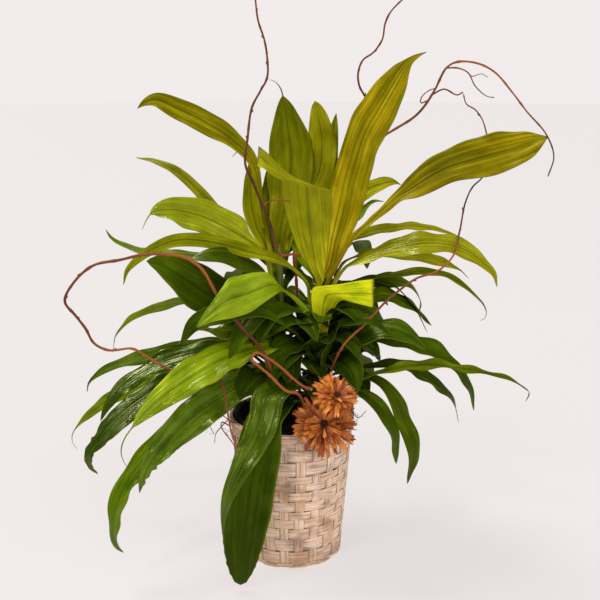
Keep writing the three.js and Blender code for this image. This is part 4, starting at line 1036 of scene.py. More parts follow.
def cane_shape(shape, place, rng):
    """Adds a cane with a low ridge and a leaf scar every few millimetres and a rolled tip."""
    x, y, top = place
    z = np.arange(CANE_FOOT, top + 0.1, 2.0)
    phase = (z - CANE_FOOT) / SCAR_SPACING + 0.25 * ripple(rng, 3, 0.02, 0.05)(z)
    ridge = np.exp(-((phase % 1 - 0.5) / 0.14) ** 2)
    spear = smoothstep(top - CANE_SPEAR, top, z)
    radius = (cane_radius(z) - 0.6 + 0.7 * ridge) * (1 - spear) + CANE_SPEAR_RADIUS * spear
    angle = full_circle(20)
    wobble = 1 + 0.03 * ripple(rng, 3, 1, 3)(angle)
    rings = outward(angle) * wobble[:, None] * radius[:, None, None]
    rings = rings + np.array((x, y, 0)) + UP * z[:, None, None]
    stem = marks(rings, np.cos(angle), z[:, None] * MM, rng.uniform(0, 50))
    scar = ridge * (1 - smoothstep(CANE_FOOT, CANE_FOOT + SCARRED_HEIGHT, z))
    shape.loft(rings, stem=stem, scar=np.repeat(scar, len(angle)))


def twig_shape(shape, route, root, tip, ripe, rng, cut=0.0, sides=8, step=5.0):
    """Adds a twig: a tapering bent rod with slight swellings at its knots."""
    centres, tangents, length = smooth_route(route, step=step)
    at = np.linspace(0, length, len(centres))
    radius = (root + (tip - root) * at / length) * (1 + 0.07 * ripple(rng, 4, 0.05, 0.3)(at))
    past_knot = (at + rng.uniform(0, 40)) % KNOT_SPACING - KNOT_SPACING / 2
    radius = radius * (1 + 0.28 * np.exp(-(past_knot / 3.5) ** 2))
    rings = tube_rings(centres, tangents, radius, sides)
    stem = marks(rings, np.cos(full_circle(sides)), at[:, None] * MM, rng.uniform(0, 50))
    tone = ripe + 0.25 * ripple(rng, 3, 0.01, 0.03)(at)
    ends = np.zeros(len(centres))
    ends[-1] = cut
    shape.loft(rings, stem=stem, tone=np.repeat(tone, sides), cut=np.repeat(ends, sides))
    return centres, tangents, radius


def buds(shape, centres, tangents, radius, ripe, rng):
    """Adds small pointed buds that lie against a twig."""
    for k in range(6, len(centres) - 3, BUD_EVERY):
        side = unit(np.cross(tangents[k], rng.normal(size=3)))
        base = centres[k] + side * radius[k] * 0.8
        tip = base + tangents[k] * 5.5 + side * 1.6
        path = np.array([base, (base + tip + side) / 2, tip])
        rings = tube_rings(path, unit(np.gradient(path, axis=0)), (1.1, 1.0, 0.25), 5)
        shape.loft(rings, stem=(0.0, rng.random(), 1.0), tone=ripe, cut=0.0)


def petal(shape, to_world, length, width, rise, angle, tone, rng):
    """Adds one dried petal: a narrow strip, cupped along its length, with a blunt torn end."""
    length = length * rng.uniform(0.76, 1.0)
    half = width / 2 * rng.uniform(0.6, 1.15)
    s = np.linspace(0.04, 1, PETAL_ROWS)[:, None]
    a = np.linspace(-1, 1, PETAL_COLUMNS)[None]
    fringe = rng.uniform(-0.14, 0.05, PETAL_COLUMNS)[None] * smoothstep(0.7, 1, s)
    x = length * (s + fringe)
    y = half * a * (0.35 + 0.65 * smoothstep(0, 0.75, s))
    curl = length * (rise + rng.uniform(-0.1, 0.12)) * s ** 1.6
    cup = half * rng.uniform(0.2, 0.55) * a ** 2 + rng.uniform(-1.5, 1.5) * s ** 2
    cup = cup + 0.5 * ripple(rng, 3, 3, 8)(a)
    twist = rng.uniform(-0.7, 0.7) * s
    y, z = y * np.cos(twist) - cup * np.sin(twist), curl + cup + y * np.sin(twist)
    c, d = math.cos(angle), math.sin(angle)
    top = np.stack([x * c - y * d, x * d + y * c, z], -1)
    upper = np.arange(PETAL_ROWS * PETAL_COLUMNS).reshape(PETAL_ROWS, PETAL_COLUMNS)
    lower = upper + upper.size
    rim = np.concatenate([upper[0], upper[1:, -1], upper[-1, -2::-1], upper[-2:0:-1, 0]])
    around = np.stack([rim, np.roll(rim, -1), np.roll(rim, -1) + upper.size, rim + upper.size], -1)
    faces = np.vstack([grid_quads(upper)[:, ::-1], grid_quads(lower), around]).tolist()
    strip = marks(top, x * MM, y * MM, rng.uniform(0, 60)).reshape(-1, 3)
    shade = tone + 0.5 * (s - 0.5) + rng.uniform(-0.3, 0.25) + 0 * a
    points = np.vstack([top.reshape(-1, 3), (top - UP * PETAL_THICKNESS).reshape(-1, 3)])
    shape.add(to_world(points), faces, strip=np.tile(strip, (2, 1)), tone=np.tile(shade.ravel(), 2))


def flower_frame(middle, facing):
    """A function that carries points from a flower's own frame, facing +Z, to its place."""
    turn = np.array(Vector(UP).rotation_difference(Vector(facing).normalized()).to_matrix())
    return lambda points: points @ turn.T + np.array(middle)


def petals(shape, to_world, radius, tone, rng):
    """Adds the petals of a flower, ring by ring."""
    for count, reach, width, rise in PETAL_RINGS:
        offset = rng.uniform(0, 1)
        for k in range(count):
            angle = FULL_TURN * (k + offset + rng.uniform(-0.3, 0.3)) / count
            petal(shape, to_world, radius * reach, radius * width, rise, angle, tone, rng)


def heart_shape(shape, to_world, radius, rng):
    """Adds the seedy middle of a flower: a low dome covered with little grains."""
    for k in range(HEART_SEEDS):
        share = ((k + 0.5) / HEART_SEEDS) ** 0.5
        out = outward(k * GOLDEN_ANGLE) * radius * share
        dome = radius * 0.55 * (1 - share ** 2) + 2.0
        path = np.array([out - 2.0 * UP, out + dome * 0.6 * UP, out * 1.08 + dome * UP])
        width = rng.uniform(0.7, 1.1)
        rings = tube_rings(path, unit(np.gradient(path, axis=0)), (width, width, width * 0.5), 5)
        shape.loft(to_world(rings))


# ------------------------------------------------------------------------------------------
# Basket
# ------------------------------------------------------------------------------------------

# Half of a splint's section: place across it and height, as shares of half the width and of half
# the thickness. Its edges are rounded over.
SPLINT_TOP = np.array([(-1, 0), (-0.93, 0.8), (-0.5, 1), (0, 1.1), (0.5, 1), (0.93, 0.8), (1, 0)])
SPLINT_SECTION = np.vstack([SPLINT_TOP, SPLINT_TOP[-2:0:-1] * (1, -1)])

# The narrow strips under the woven rows: middle height, width, and how far they bulge.
FOOT_STRIPS = [(3.0, 5.0, 1.6), (7.2, 4.4, 1.6)]
ROW_GAP = 0.6
POINTS_PER_STAKE = 16
POINTS_PER_ROW = 11
LATTICE_GAP = 1.6


def splint(shape, centres, across, normals, along, section, seed, uneven=1.0, closed=False):
    """Adds a flat strip of wood along a line of centres.

    section is its width and thickness, across points along its width, along is the distance from
    its start, and uneven is the real width as a share of the plain one.
    """
    width, thickness = section
    half = np.broadcast_to(width * uneven / 2, len(centres))[:, None, None]
    across, normals = (np.broadcast_to(ways, centres.shape)[:, None] for ways in (across, normals))
    rings = centres[:, None] + across * SPLINT_SECTION[:, :1] * half
    rings = rings + normals * SPLINT_SECTION[:, 1:] * thickness / 2
    place = SPLINT_SECTION[:, 0]
    strip = marks(rings, along[:, None] * MM, place * width / 2 * MM, seed)
    shape.loft(rings, closed, strip=strip, edge=np.tile(place, len(centres)))


def wall_radius(height):
    """The outer radius of the basket at a height."""
    return FOOT_RADIUS + WALL_LEAN * height


def over_under(phase):
    """A rounded square wave: a strip lies flat over or under and crosses quickly between."""
    return np.tanh(2.4 * np.cos(phase)) / math.tanh(2.4)


def row_edges(look):
    """The heights between the level strips, which are hand cut and so uneven."""
    heights = np.random.default_rng(5).uniform(0.7, 1.3, look.rows)
    return WEAVE_LOW + (WEAVE_HIGH - WEAVE_LOW) * np.r_[0, np.cumsum(heights)] / heights.sum()


def basket_weavers(shape, look, rng):
    """Adds the level strips, row by row; each ducks behind every other stake."""
    theta = full_circle(look.stakes * POINTS_PER_STAKE)
    radial = outward(theta)
    stake = theta * look.stakes / FULL_TURN
    nearest = np.round(stake)
    edges = row_edges(look)
    rows = list(FOOT_STRIPS)
    rows += [((low + high) / 2, high - low - ROW_GAP, 1.0) for low, high in zip(edges, edges[1:])]
    for row, (middle, width, bulge) in enumerate(rows):
        around = wall_radius(middle)
        drift = 0.5 * ripple(rng, 4, 1, 5)(np.cos(theta))
        drift = drift + 0.4 * ripple(rng, 4, 1, 5)(np.sin(theta))
        height = middle + drift * min(1, width / 12)
        uneven = 1 + 0.8 * ripple(rng, 4, 6, 26)(np.sin(theta)) / width
        away = np.abs(stake - nearest) * FULL_TURN * around / look.stakes
        duck = 1 - smoothstep(look.stake_width / 2 - 1, look.stake_width / 2 + 4.5, away)
        wave = 1 - 2 * duck * ((nearest + row) % 2 == 0)
        wave = wave + 0.25 * ripple(rng, 4, 5, 20)(np.sin(theta))
        radius = wall_radius(height) - WALL_THICKNESS / 2 + look.weave_depth * bulge * wave
        centres = radial * radius[:, None] + UP * height[:, None]
        splint(shape, centres, unit(UP + radial * WALL_LEAN), radial, theta * around,
               (width, look.splint_thickness), rng.uniform(0, 80), uneven, closed=True)


def basket_stakes(shape, look, rng):
    """Adds the upright strips, woven the opposite way to the level ones, curled in at the foot."""
    edges = row_edges(look)
    z = np.linspace(0.9, WALL_TOP - 0.6, look.rows * POINTS_PER_ROW)
    row = np.clip(np.searchsorted(edges, z) - 1, 0, look.rows - 1)
    share = np.clip((z - edges[row]) / (edges[row + 1] - edges[row]), 0, 1)
    crossing = np.tanh(7 * np.minimum(share, 1 - share))
    for k in range(look.stakes):
        theta = FULL_TURN * k / look.stakes + 0.012 * ripple(rng, 3, 0.01, 0.03)(z)
        radial = outward(theta)
        wave = np.where((row + k) % 2 == 0, crossing, -crossing) * (z > WEAVE_LOW)
        radius = wall_radius(z) - WALL_THICKNESS / 2 + look.weave_depth * wave
        radius = radius - FOOT_CURL * (1 - smoothstep(0, 7, z))
        uneven = (1 + 0.06 * ripple(rng, 3, 0.02, 0.08)(z)) * rng.uniform(0.85, 1.1)
        centres = radial * radius[:, None] + UP * z[:, None]
        splint(shape, centres, outward(theta + FULL_TURN / 4), radial, z,
               (look.stake_width, look.splint_thickness), rng.uniform(0, 80), uneven)


def basket_rim_shape(shape, rng):
    """Adds the two bands folded over the mouth and the thin reed between them."""
    theta = full_circle(240)
    radial = outward(theta)
    outer = wall_radius(BASKET_HEIGHT - RIM_DEPTH / 2) + GAP + 0.6
    inner = wall_radius(BASKET_HEIGHT - RIM_INNER_DEPTH / 2) - WALL_THICKNESS - GAP - 0.7
    for radius, depth, width in ((outer, RIM_DEPTH, RIM_DEPTH - 1),
                                 (inner, RIM_INNER_DEPTH, RIM_INNER_DEPTH)):
        wobble = ripple(rng, 4, 2, 9)(np.sin(theta)) + ripple(rng, 4, 2, 9)(np.cos(theta))
        wobble = 0.25 * wobble
        height = BASKET_HEIGHT - depth / 2 - 0.4 + wobble
        centres = radial * (radius + wobble * 0.6)[:, None] + UP * height[:, None]
        splint(shape, centres, unit(UP + radial * WALL_LEAN), radial, theta * radius,
               (width, RIM_BAND), rng.uniform(0, 80), closed=True)
    reed = radial * (outer + inner) / 2 + UP * (BASKET_HEIGHT - 1.6)
    rings = tube_rings(reed, outward(theta + FULL_TURN / 4), REED_RADIUS, 8, first=(1, 0, 0))
    strip = marks(rings, (theta * outer * MM)[:, None], 0, 0)
    shape.loft(rings, closed=True, strip=strip, edge=0.5)


def basket_floor_shape(shape, look, rng):
    """Adds the floor: a plain lattice of strips that pass over and under each other."""
    limit = FOOT_RADIUS - WALL_THICKNESS - 1.5
    pitch = look.stake_width + LATTICE_GAP
    half_count = int(limit / pitch)
    for way in (0, 1):
        for k in range(-half_count, half_count + 1):
            offset = k * pitch
            reach = math.sqrt(max(limit ** 2 - (abs(offset) + pitch / 2) ** 2, 100))
            t = np.linspace(-reach, reach, 40)
            height = 2.1 + 0.55 * over_under(math.pi * t / pitch + math.pi * (k + way))
            along, across = np.eye(3)[[1 - way, way]]
            centres = along * t[:, None] + across * offset + UP * height[:, None]
            splint(shape, centres, across, UP, t, (look.stake_width, 0.8), rng.uniform(0, 80))


# ------------------------------------------------------------------------------------------
# Soil and moss
# ------------------------------------------------------------------------------------------

# The moss ring's section, once round it: radius and height.
MOSS_SECTION = [(88, 247.2), (105, 247.2), (106.4, 253), (105.4, 260), (102, 264.5), (96.5, 265.5),
                (91, 262), (87.5, 257), (86.4, 252)]
MOSS_BAND = (88, 104)
CRUMB_RING = [(1, 0), (0.4, 0.9), (-0.7, 0.7), (-1, -0.2), (-0.1, -1), (0.8, -0.7)]


def soil_height(radius, angle):
    """The top of the soil, a low mound that is the same at every angle."""
    return SOIL_TOP + SOIL_MOUND * (1 - (radius / SOIL_RADIUS) ** 2) + 0 * angle


def soil_shape(shape, rng):
    """Adds the plug of soil that fills the pot, with a rough low mound on top."""
    theta = full_circle(96)
    lumps_x, lumps_y, slant, _ = (ripple(rng, 5, 0.05, 0.4) for _ in range(4))
    rings = []
    for share in np.linspace(0, 1, 26)[1:]:
        ring = outward(theta) * SOIL_RADIUS * share
        x, y, _ = ring.T
        rough = lumps_x(x) * lumps_y(y) * 1.4 + slant(x + y) * 0.7
        z = soil_height(SOIL_RADIUS * share, theta) + rough * min(1, (1 - share) * 6)
        rings.append(ring + UP * z[:, None])
    rings.append(outward(theta) * SOIL_FOOT_RADIUS + UP * SOIL_FOOT)
    shape.loft(np.array(rings))


def crumbs(shape, count, inner, outer, ground, span, rng):
    """Adds loose angular crumbs, scattered over a ring and half sunk in its ground."""
    levels = ((0.6, -1), (1, -0.2), (0.55, 1))
    crumb = np.array([[(x * share, y * share, z) for x, y in CRUMB_RING] for share, z in levels])
    for _ in range(count):
        angle, radius = rng.uniform(0, FULL_TURN), math.sqrt(rng.uniform(inner ** 2, outer ** 2))
        centre = outward(angle) * radius + UP * ground(radius, angle)
        turned, _ = np.linalg.qr(rng.normal(size=(3, 3)))
        spans = np.array((1, 0.65, 0.4)) * span * rng.uniform(0.5, 1.3)
        shape.loft(centre + (crumb * spans) @ turned.T * rng.choice((-1, 1)))


def moss_swell(angle):
    """How much higher the moss stands at an angle, as in the frame."""
    return MOSS_SWELL * (np.cos(angle) ** 4 + 0.3 * np.sin(7 * angle))


def moss_height(radius, angle):
    """The top of the ring of moss at a radius and an angle."""
    arch = np.sin(math.pi * np.clip((radius - MOSS_INNER) / MOSS_WIDTH, 0, 1))
    return MOSS_FOOT + MOSS_RISE * arch ** 0.5 + moss_swell(angle) * arch


def crumbled_moss_height(radius, angle):
    """Where the crumbs lie, a little sunk in the moss."""
    return moss_height(radius, angle) - 1


def moss_shape(shape, rng):
    """Adds the lumpy body of the ring of moss on the lip of the pot."""
    theta = full_circle(180)
    lumps = ripple(rng, 6, 6, 22)
    rings = []
    for radius, height in MOSS_SECTION:
        raised = 2.2 * lumps(theta + radius * 0.05) + moss_swell(theta)
        z = height + raised * smoothstep(252, 266, height)
        rings.append(outward(theta) * radius + UP * z[:, None])
    shape.loft(np.stack(rings, axis=1), closed=True)


def fibre(shape, start, heading, length, radius, rng, droop=0.4, **fields):
    """Adds one thin bent fibre."""
    points = [np.array(start, float)]
    way = unit(np.array(heading, float))
    for _ in range(5):
        way = unit(way + rng.normal(size=3) * 0.35 - UP * droop * 0.2)
        points.append(points[-1] + way * length / 5)
    centres, tangents, _ = smooth_route(points, count=9)
    radii = radius * np.linspace(1, 0.35, len(centres))
    shape.loft(tube_rings(centres, tangents, radii, sides=4), **fields)


def moss_fibres(shape, count, rng):
    """Adds fine fibres that stand and hang from the ring of moss."""
    for _ in range(count):
        angle, radius = rng.uniform(0, FULL_TURN), rng.uniform(*MOSS_BAND)
        start = outward(angle) * radius + UP * (moss_height(radius, angle) - 3)
        heading = (*rng.normal(size=2), 0.5)
        fibre(shape, start, heading, rng.uniform(8, 22), rng.uniform(0.25, 0.55), rng, droop=0.9)


def loose_roots(shape, rng):
    """Adds the roots over the mouth of the basket, with hair roots that spring from them."""
    for route in ROOTS:
        twig_shape(shape, route, 1.2, 0.5, 0.1, rng, sides=6, step=4)
        for _ in range(HAIR_ROOTS):
            start = route[rng.integers(1, len(route))]
            heading = rng.normal(size=3) * (1, 0.4, 0.6)
            fibre(shape, start, heading, rng.uniform(12, 30), 0.4, rng,
                  stem=(0, 0, 1), tone=0.1, cut=0)


# ------------------------------------------------------------------------------------------
# Sizes and colours that a user would change
# ------------------------------------------------------------------------------------------


def size(name, description, default, low, high):
    """A length, given here in millimetres."""
    return FloatProperty(name=name, description=description, default=default * MM, min=low * MM,
                         max=high * MM, unit="LENGTH")


def number(name, description, default, low, high):
    """A count."""
    return IntProperty(name=name, description=description, default=default, min=low, max=high)


def amount(name, description, default, high):
    """A number without a unit."""
    return FloatProperty(name=name, description=description, default=default, min=0, max=high)


def degrees(name, description, default, high):
    """An angle, given here in degrees."""
    return FloatProperty(name=name, description=description, default=math.radians(default), min=0,
                         max=math.radians(high), subtype="ANGLE")


def direction(name, description, default):
    """A direction in space."""
    return FloatVectorProperty(name=name, description=description, default=default,
                               subtype="DIRECTION")


def colour(name, description, default):
    """A colour, as linear red, green and blue."""
    return FloatVectorProperty(name=name, description=description, default=default, size=3,
                               min=0.0, max=1.0, subtype="COLOR")


class LeafLook(bpy.types.PropertyGroup):
    """How the leaves and canes are shaped and coloured."""

    leaf_spacing: size("Spacing", "Length of the faces along a leaf", 6.0, 2, 30)
    leaf_columns: number("Columns", "Points across a leaf", 31, 7, 61)
    leaf_thickness: size("Thickness", "Thickness of the blade", 0.6, 0.2, 3)
    leaf_wave: size("Margin wave", "Height of the waves of the margins", 4.2, 0, 12)
    leaf_pleat: size("Fold height", "Height of the long folds of the blade", 1.7, 0, 6)
    leaf_folds: amount("Folds", "Long folds in each half of a blade", 2.3, 8)
    leaf_rib: size("Midrib", "Height of the midrib under the blade", 1.2, 0, 4)
    leaf_groove: size("Groove", "Depth of the groove over the midrib", 0.35, 0, 0.5)
    leaf_sway: degrees("Sway", "Uneven turn of the blade", 7, 30)
    gloss_high: amount("High gloss", "Gloss of the glossier leaves", 0.9, 1)
    gloss_low: amount("Low gloss", "Gloss of the duller leaves", 0.45, 1)
    deep: colour("Deep green", "Old leaves, low in the plant", (0.016, 0.034, 0.001))
    mature: colour("Mature green", "Full-grown leaves", (0.045, 0.085, 0.001))
    fresh: colour("Fresh green", "Leaves of the middle of the plant", (0.115, 0.19, 0.001))
    bright: colour("Bright green", "Young green leaves", (0.28, 0.4, 0.002))
    pale: colour("Pale green", "The palest green", (0.85, 0.9, 0.008))
    old_gold: colour("Old gold", "Shaded folds of young leaves", (0.058, 0.045, 0.001))
    olive: colour("Olive", "Olive part of young leaves", (0.19, 0.152, 0.001))
    gold: colour("Gold", "Golden part of young leaves", (0.4, 0.295, 0.003))
    young: colour("Young yellow", "The youngest leaves", (0.68, 0.5, 0.02))
    margin: colour("Margin", "Edge of a leaf", (0.3, 0.36, 0.01))
    underside: colour("Underside", "Back of a leaf", (0.15, 0.19, 0.02))
    withered: colour("Withered", "Dry tips and tears", (0.09, 0.05, 0.02))
    cane: colour("Cane", "Green of the canes", (0.2, 0.24, 0.02))
    cane_dark: colour("Cane shade", "Darker green of the canes", (0.1, 0.15, 0.015))
    scar: colour("Leaf scar", "Rings where leaves have dropped", (0.16, 0.12, 0.05))


class BasketLook(bpy.types.PropertyGroup):
    """How the basket is woven, and how it and what it holds are coloured."""

    stakes: number("Stakes", "Upright strips, an even number", 22, 8, 48)
    rows: number("Rows", "Level strips above the two narrow ones at the foot", 12, 4, 30)
    stake_width: size("Stake width", "Width of an upright strip", 17.0, 4, 30)
    splint_thickness: size("Splint thickness", "Thickness of a strip", 1.0, 0.3, 3)
    weave_depth: size("Weave depth", "How far a strip swings in and out", 0.75, 0, 3)
    soil_crumbs: number("Soil crumbs", "Loose crumbs on the soil", 420, 0, 2000)
    moss_crumbs: number("Moss crumbs", "Loose crumbs on the moss", 260, 0, 2000)
    moss_fibres: number("Moss fibres", "Fine fibres that stand out of the moss", 900, 0, 4000)
    splint: colour("Splint", "Whitewashed wood", (0.74, 0.49, 0.33))
    splint_pale: colour("Pale splint", "Thick whitewash", (0.95, 0.76, 0.6))
    # Tan is worn wood; at the strip edges it is also painted shade of the gaps between strips.
    splint_tan: colour("Tan splint", "Worn wood", (0.42, 0.23, 0.11))
    splint_stain: colour("Stain", "Grey-purple streaks", (0.24, 0.16, 0.15))
    splint_ochre: colour("Ochre", "Ochre spots", (0.55, 0.31, 0.1))
    liner: colour("Liner", "Plastic sheet in the basket", (0.035, 0.03, 0.026))
    pot: colour("Grow pot", "Plastic pot in the basket", (0.012, 0.013, 0.012))
    soil: colour("Soil", "Potting soil", (0.028, 0.018, 0.011))
    soil_dark: colour("Dark soil", "Wet potting soil", (0.007, 0.005, 0.003))
    moss: colour("Moss", "Dry moss", (0.09, 0.06, 0.025))
    moss_dark: colour("Dark moss", "Shaded moss", (0.012, 0.01, 0.005))


class TrimmingsLook(bpy.types.PropertyGroup):
    """How the willow twigs and the dried flowers are coloured."""

    bark_dark: colour("Old bark", "Dark willow bark", (0.03, 0.008, 0.006))
    bark: colour("Bark", "Willow bark", (0.14, 0.036, 0.01))
    bark_orange: colour("Young bark", "Orange willow bark", (0.36, 0.1, 0.02))
    cut_wood: colour("Cut wood", "Cut end of a twig", (0.6, 0.5, 0.36))
    petal: colour("Petal", "Dried petal", (0.36, 0.078, 0.012))
    petal_light: colour("Light petal", "Brightest part of a dried petal", (0.85, 0.3, 0.05))
    petal_dark: colour("Dark petal", "Root of a dried petal", (0.07, 0.014, 0.004))
    heart: colour("Flower heart", "Seedy middle of a flower", (0.06, 0.018, 0.01))
    heart_light: colour("Seed tips", "Light tips of the seeds", (0.16, 0.06, 0.035))


class StageLook(bpy.types.PropertyGroup):
    """The floor, the lights and the camera."""

    floor: colour("Floor", "Plain pale floor", (0.2, 0.194, 0.194))
    floor_glow: colour("Floor glow", "Light of the floor itself", (0.632, 0.592, 0.585))
    surround: colour("Surround", "Light from all around", (0.86, 0.815, 0.815))
    surround_power: amount("Surround power", "Strength of the surround", 0.42, 5)
    backdrop_power: amount("Backdrop power", "Brightness of the surround behind the plant", 1.03, 5)
    key_direction: direction("Key direction", "Where the main light comes from", (-0.5, 0.25, 1.0))
    key_spread: degrees("Key spread", "Width of the main light in the sky", 22, 180)
    key_power: amount("Key light", "Strength of the main light", 1.9, 50)
    sheen_direction: direction("Sheen direction", "Where the small streaking light comes from",
                               (-0.5, -0.62, 0.85))
    sheen_spread: degrees("Sheen spread", "Width of the small light in the sky", 9, 180)
    sheen_power: amount("Sheen light", "Strength of the small light", 0.6, 50)
    fill_direction: direction("Fill direction", "Where the fill light comes from",
                              (0.75, -0.95, 0.7))
    fill_spread: degrees("Fill spread", "Width of the fill light in the sky", 70, 180)
    fill_power: amount("Fill light", "Strength of the fill light", 1.45, 50)
    lens: FloatProperty(name="Lens", description="Focal length on a 36 mm sensor", default=58.4,
                        min=10, max=300, unit="CAMERA")
    camera_tilt: degrees("Camera tilt", "How far the camera looks down", 14.9, 90)
    camera_place: FloatVectorProperty(
        name="Camera place", description="Where the camera stands",
        default=(15 * MM, -1677 * MM, 927 * MM), subtype="TRANSLATION", unit="LENGTH")


def settings(group):
    """The values of a group of settings, with lengths in millimetres and angles in radians."""
    values = {}
    for name in type(group).__annotations__:
        value = getattr(group, name)
        scale = 1 / MM if group.bl_rna.properties[name].unit == "LENGTH" else 1
        several = hasattr(value, "__len__")
        values[name] = tuple(part * scale for part in value) if several else value * scale
    return SimpleNamespace(**values)


# ------------------------------------------------------------------------------------------
# Stage
# ------------------------------------------------------------------------------------------

FLOOR_RADIUS = 14
SENSOR_WIDTH = 36


def stage_object(name, data):
    """Adds an object of the stage to the scene."""
    made = bpy.data.objects.new(name, data)
    bpy.context.scene.collection.objects.link(made)
    return made


def add_floor(look):
    """Adds a round floor that reaches past every view."""
    mesh = bpy.data.meshes.new("floor")
    ring = outward(full_circle(96)) * FLOOR_RADIUS
    mesh.from_pydata(ring.tolist(), [], [list(range(len(ring)))])
    mesh.materials.append(finish("pale_floor", pale_floor, look))
    stage_object("floor", mesh)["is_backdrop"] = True


def add_surround(look):
    """Adds soft light from all around, brighter where the camera sees it as the backdrop."""
    world = bpy.data.worlds.new("studio")
    world.use_nodes = True
    tree = world.node_tree
    background = tree.nodes["Background"]
    background.inputs["Color"].default_value = (*look.surround, 1)
    rays = tree.nodes.new("ShaderNodeLightPath")
    seen = tree.nodes.new("ShaderNodeMapRange")
    seen.inputs["To Min"].default_value = look.surround_power
    seen.inputs["To Max"].default_value = look.backdrop_power
    tree.links.new(rays.outputs["Is Camera Ray"], seen.inputs["Value"])
    tree.links.new(seen.outputs["Result"], background.inputs["Strength"])
    world.cycles_visibility.glossy = False
    bpy.context.scene.world = world


def add_light(name, source, spread, power, mirrored=True):
    """Adds a soft sun, which glossy leaves mirror or not."""
    lamp = bpy.data.lights.new(name, "SUN")
    lamp.angle, lamp.energy = spread, power
    holder = stage_object(name, lamp)
    holder.rotation_euler = Vector(source).to_track_quat("Z", "Y").to_euler()
    holder.visible_glossy = mirrored


def add_camera(look):
    """Adds the camera."""
    camera = bpy.data.cameras.new("camera")
    camera.lens, camera.sensor_width = look.lens, SENSOR_WIDTH
    camera.clip_start, camera.clip_end = 0.05, 60
    holder = stage_object("camera", camera)
    holder.location = [part * MM for part in look.camera_place]
    holder.rotation_euler = (FULL_TURN / 4 - look.camera_tilt, 0, 0)
    bpy.context.scene.camera = holder


# ------------------------------------------------------------------------------------------
# Operators
# ------------------------------------------------------------------------------------------


class CORN_PLANT_OT_add_stage(bpy.types.Operator):
    """Add the floor, the lights and the camera"""

    bl_idname = "corn_plant.add_stage"
    bl_label = "Stage"

    def execute(self, context):
        look = settings(context.scene.plant_stage)
        add_floor(look)
        add_surround(look)
        add_light("key_light", look.key_direction, look.key_spread, look.key_power)
        add_light("sheen_light", look.sheen_direction, look.sheen_spread, look.sheen_power)
        add_light("fill_light", look.fill_direction, look.fill_spread, look.fill_power,
                  mirrored=False)
        add_camera(look)
        context.scene.view_settings.view_transform = "Standard"
        return {"FINISHED"}


class CORN_PLANT_OT_add_basket(bpy.types.Operator):
    """Add the woven basket and finish the liner and the grow pot in it"""

    bl_idname = "corn_plant.add_basket"
    bl_label = "Woven Basket"

    def execute(self, context):
        look = settings(context.scene.plant_basket)
        rng = np.random.default_rng(11)
        material = finish("whitewashed_splint", whitewashed_splint, look)
        wall = Shape()
        basket_weavers(wall, look, rng)
        basket_stakes(wall, look, rng)
        wall.build("basket_weave", material, "splint", ("basket_wall",))
        rim = Shape()
        basket_rim_shape(rim, rng)
        rim.build("basket_rim_bands", material, "splint", ("basket_rim",))
        floor = Shape()
        basket_floor_shape(floor, look, rng)
        floor.build("basket_floor_lattice", material, "splint", ("basket_floor",))
        for node, name, color, dusty, roughness in (
                ("plastic_liner", "liner_plastic", look.liner, look.splint_pale, 0.3),
                ("grow_pot", "pot_plastic", look.pot, look.soil, 0.45)):
            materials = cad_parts[node].data.materials
            materials.clear()
            materials.append(finish(name, dusty_plastic, color, dusty, roughness))
        return {"FINISHED"}


class CORN_PLANT_OT_add_soil(bpy.types.Operator):
    """Add the soil, the moss at the mouth of the basket and the loose roots"""

    bl_idname = "corn_plant.add_soil"
    bl_label = "Soil and Moss"

    def execute(self, context):
        look = settings(context.scene.plant_basket)
        trimmings = settings(context.scene.plant_trimmings)
        rng = np.random.default_rng(23)
        soil = Shape()
        soil_shape(soil, rng)
        crumbs(soil, look.soil_crumbs, 5, 92, soil_height, 3.2, rng)
        earth = finish("potting_soil", litter, look.soil_dark, look.soil, 320)
        soil.build("potting_soil_surface", earth, "soil", ("soil",))
        ring = Shape()
        moss_shape(ring, rng)
        crumbs(ring, look.moss_crumbs, *MOSS_BAND, crumbled_moss_height, 3.4, rng)
        moss_fibres(ring, look.moss_fibres, rng)
        moss = finish("dry_moss", litter, look.moss_dark, look.moss, 260)
        ring.build("moss_fibres", moss, "moss", ("moss_ring",))
        roots = Shape()
        loose_roots(roots, rng)
        roots.build("loose_roots", finish("willow_bark", willow_bark, trimmings), "moss")
        return {"FINISHED"}


class CORN_PLANT_OT_add_canes(bpy.types.Operator):
    """Add the three canes"""

    bl_idname = "corn_plant.add_canes"
    bl_label = "Canes"

    def execute(self, context):
        rng = np.random.default_rng(31)
        material = finish("green_cane", green_cane, settings(context.scene.plant_leaves))
        for name, place in CANES.items():
            shape = Shape()
            cane_shape(shape, place, rng)
            shape.build(f"ringed_cane_{name}", material, "cane", (f"cane_{name}",))
        return {"FINISHED"}


class CORN_PLANT_OT_add_leaves(bpy.types.Operator):
    """Add the leaves that stand for the leaves of the frame"""

    bl_idname = "corn_plant.add_leaves"
    bl_label = "Leaves"

    def execute(self, context):
        look = settings(context.scene.plant_leaves)
        for order, item in enumerate(LEAVES):
            shape = Shape()
            leaf_surface(shape, item, look, np.random.default_rng(100 + order))
            piece = item.name.replace("leaf", "blade", 1)
            shape.build(piece, leaf_finish(item, look), "leaf", (item.name,))
        return {"FINISHED"}


class CORN_PLANT_OT_add_extra_leaves(bpy.types.Operator):
    """Add leaves beside those of the frame, and the small ones that fill the plant"""

    bl_idname = "corn_plant.add_extra_leaves"
    bl_label = "Extra Leaves"

    def execute(self, context):
        look = settings(context.scene.plant_leaves)
        for order, item in enumerate(EXTRA_LEAVES):
            shape = Shape()
            leaf_surface(shape, item, look, np.random.default_rng(200 + order))
            shape.build(f"extra_leaf_{item.name}", leaf_finish(item, look), "leaf")
        rng = np.random.default_rng(12)
        for name, rows in FILLERS.items():
            shape = Shape()
            for item in filler_leaves(rows, rng):
                leaf_surface(shape, item, look, rng)
            shape.build(name, leaf_finish(item, look), "leaf")
        return {"FINISHED"}


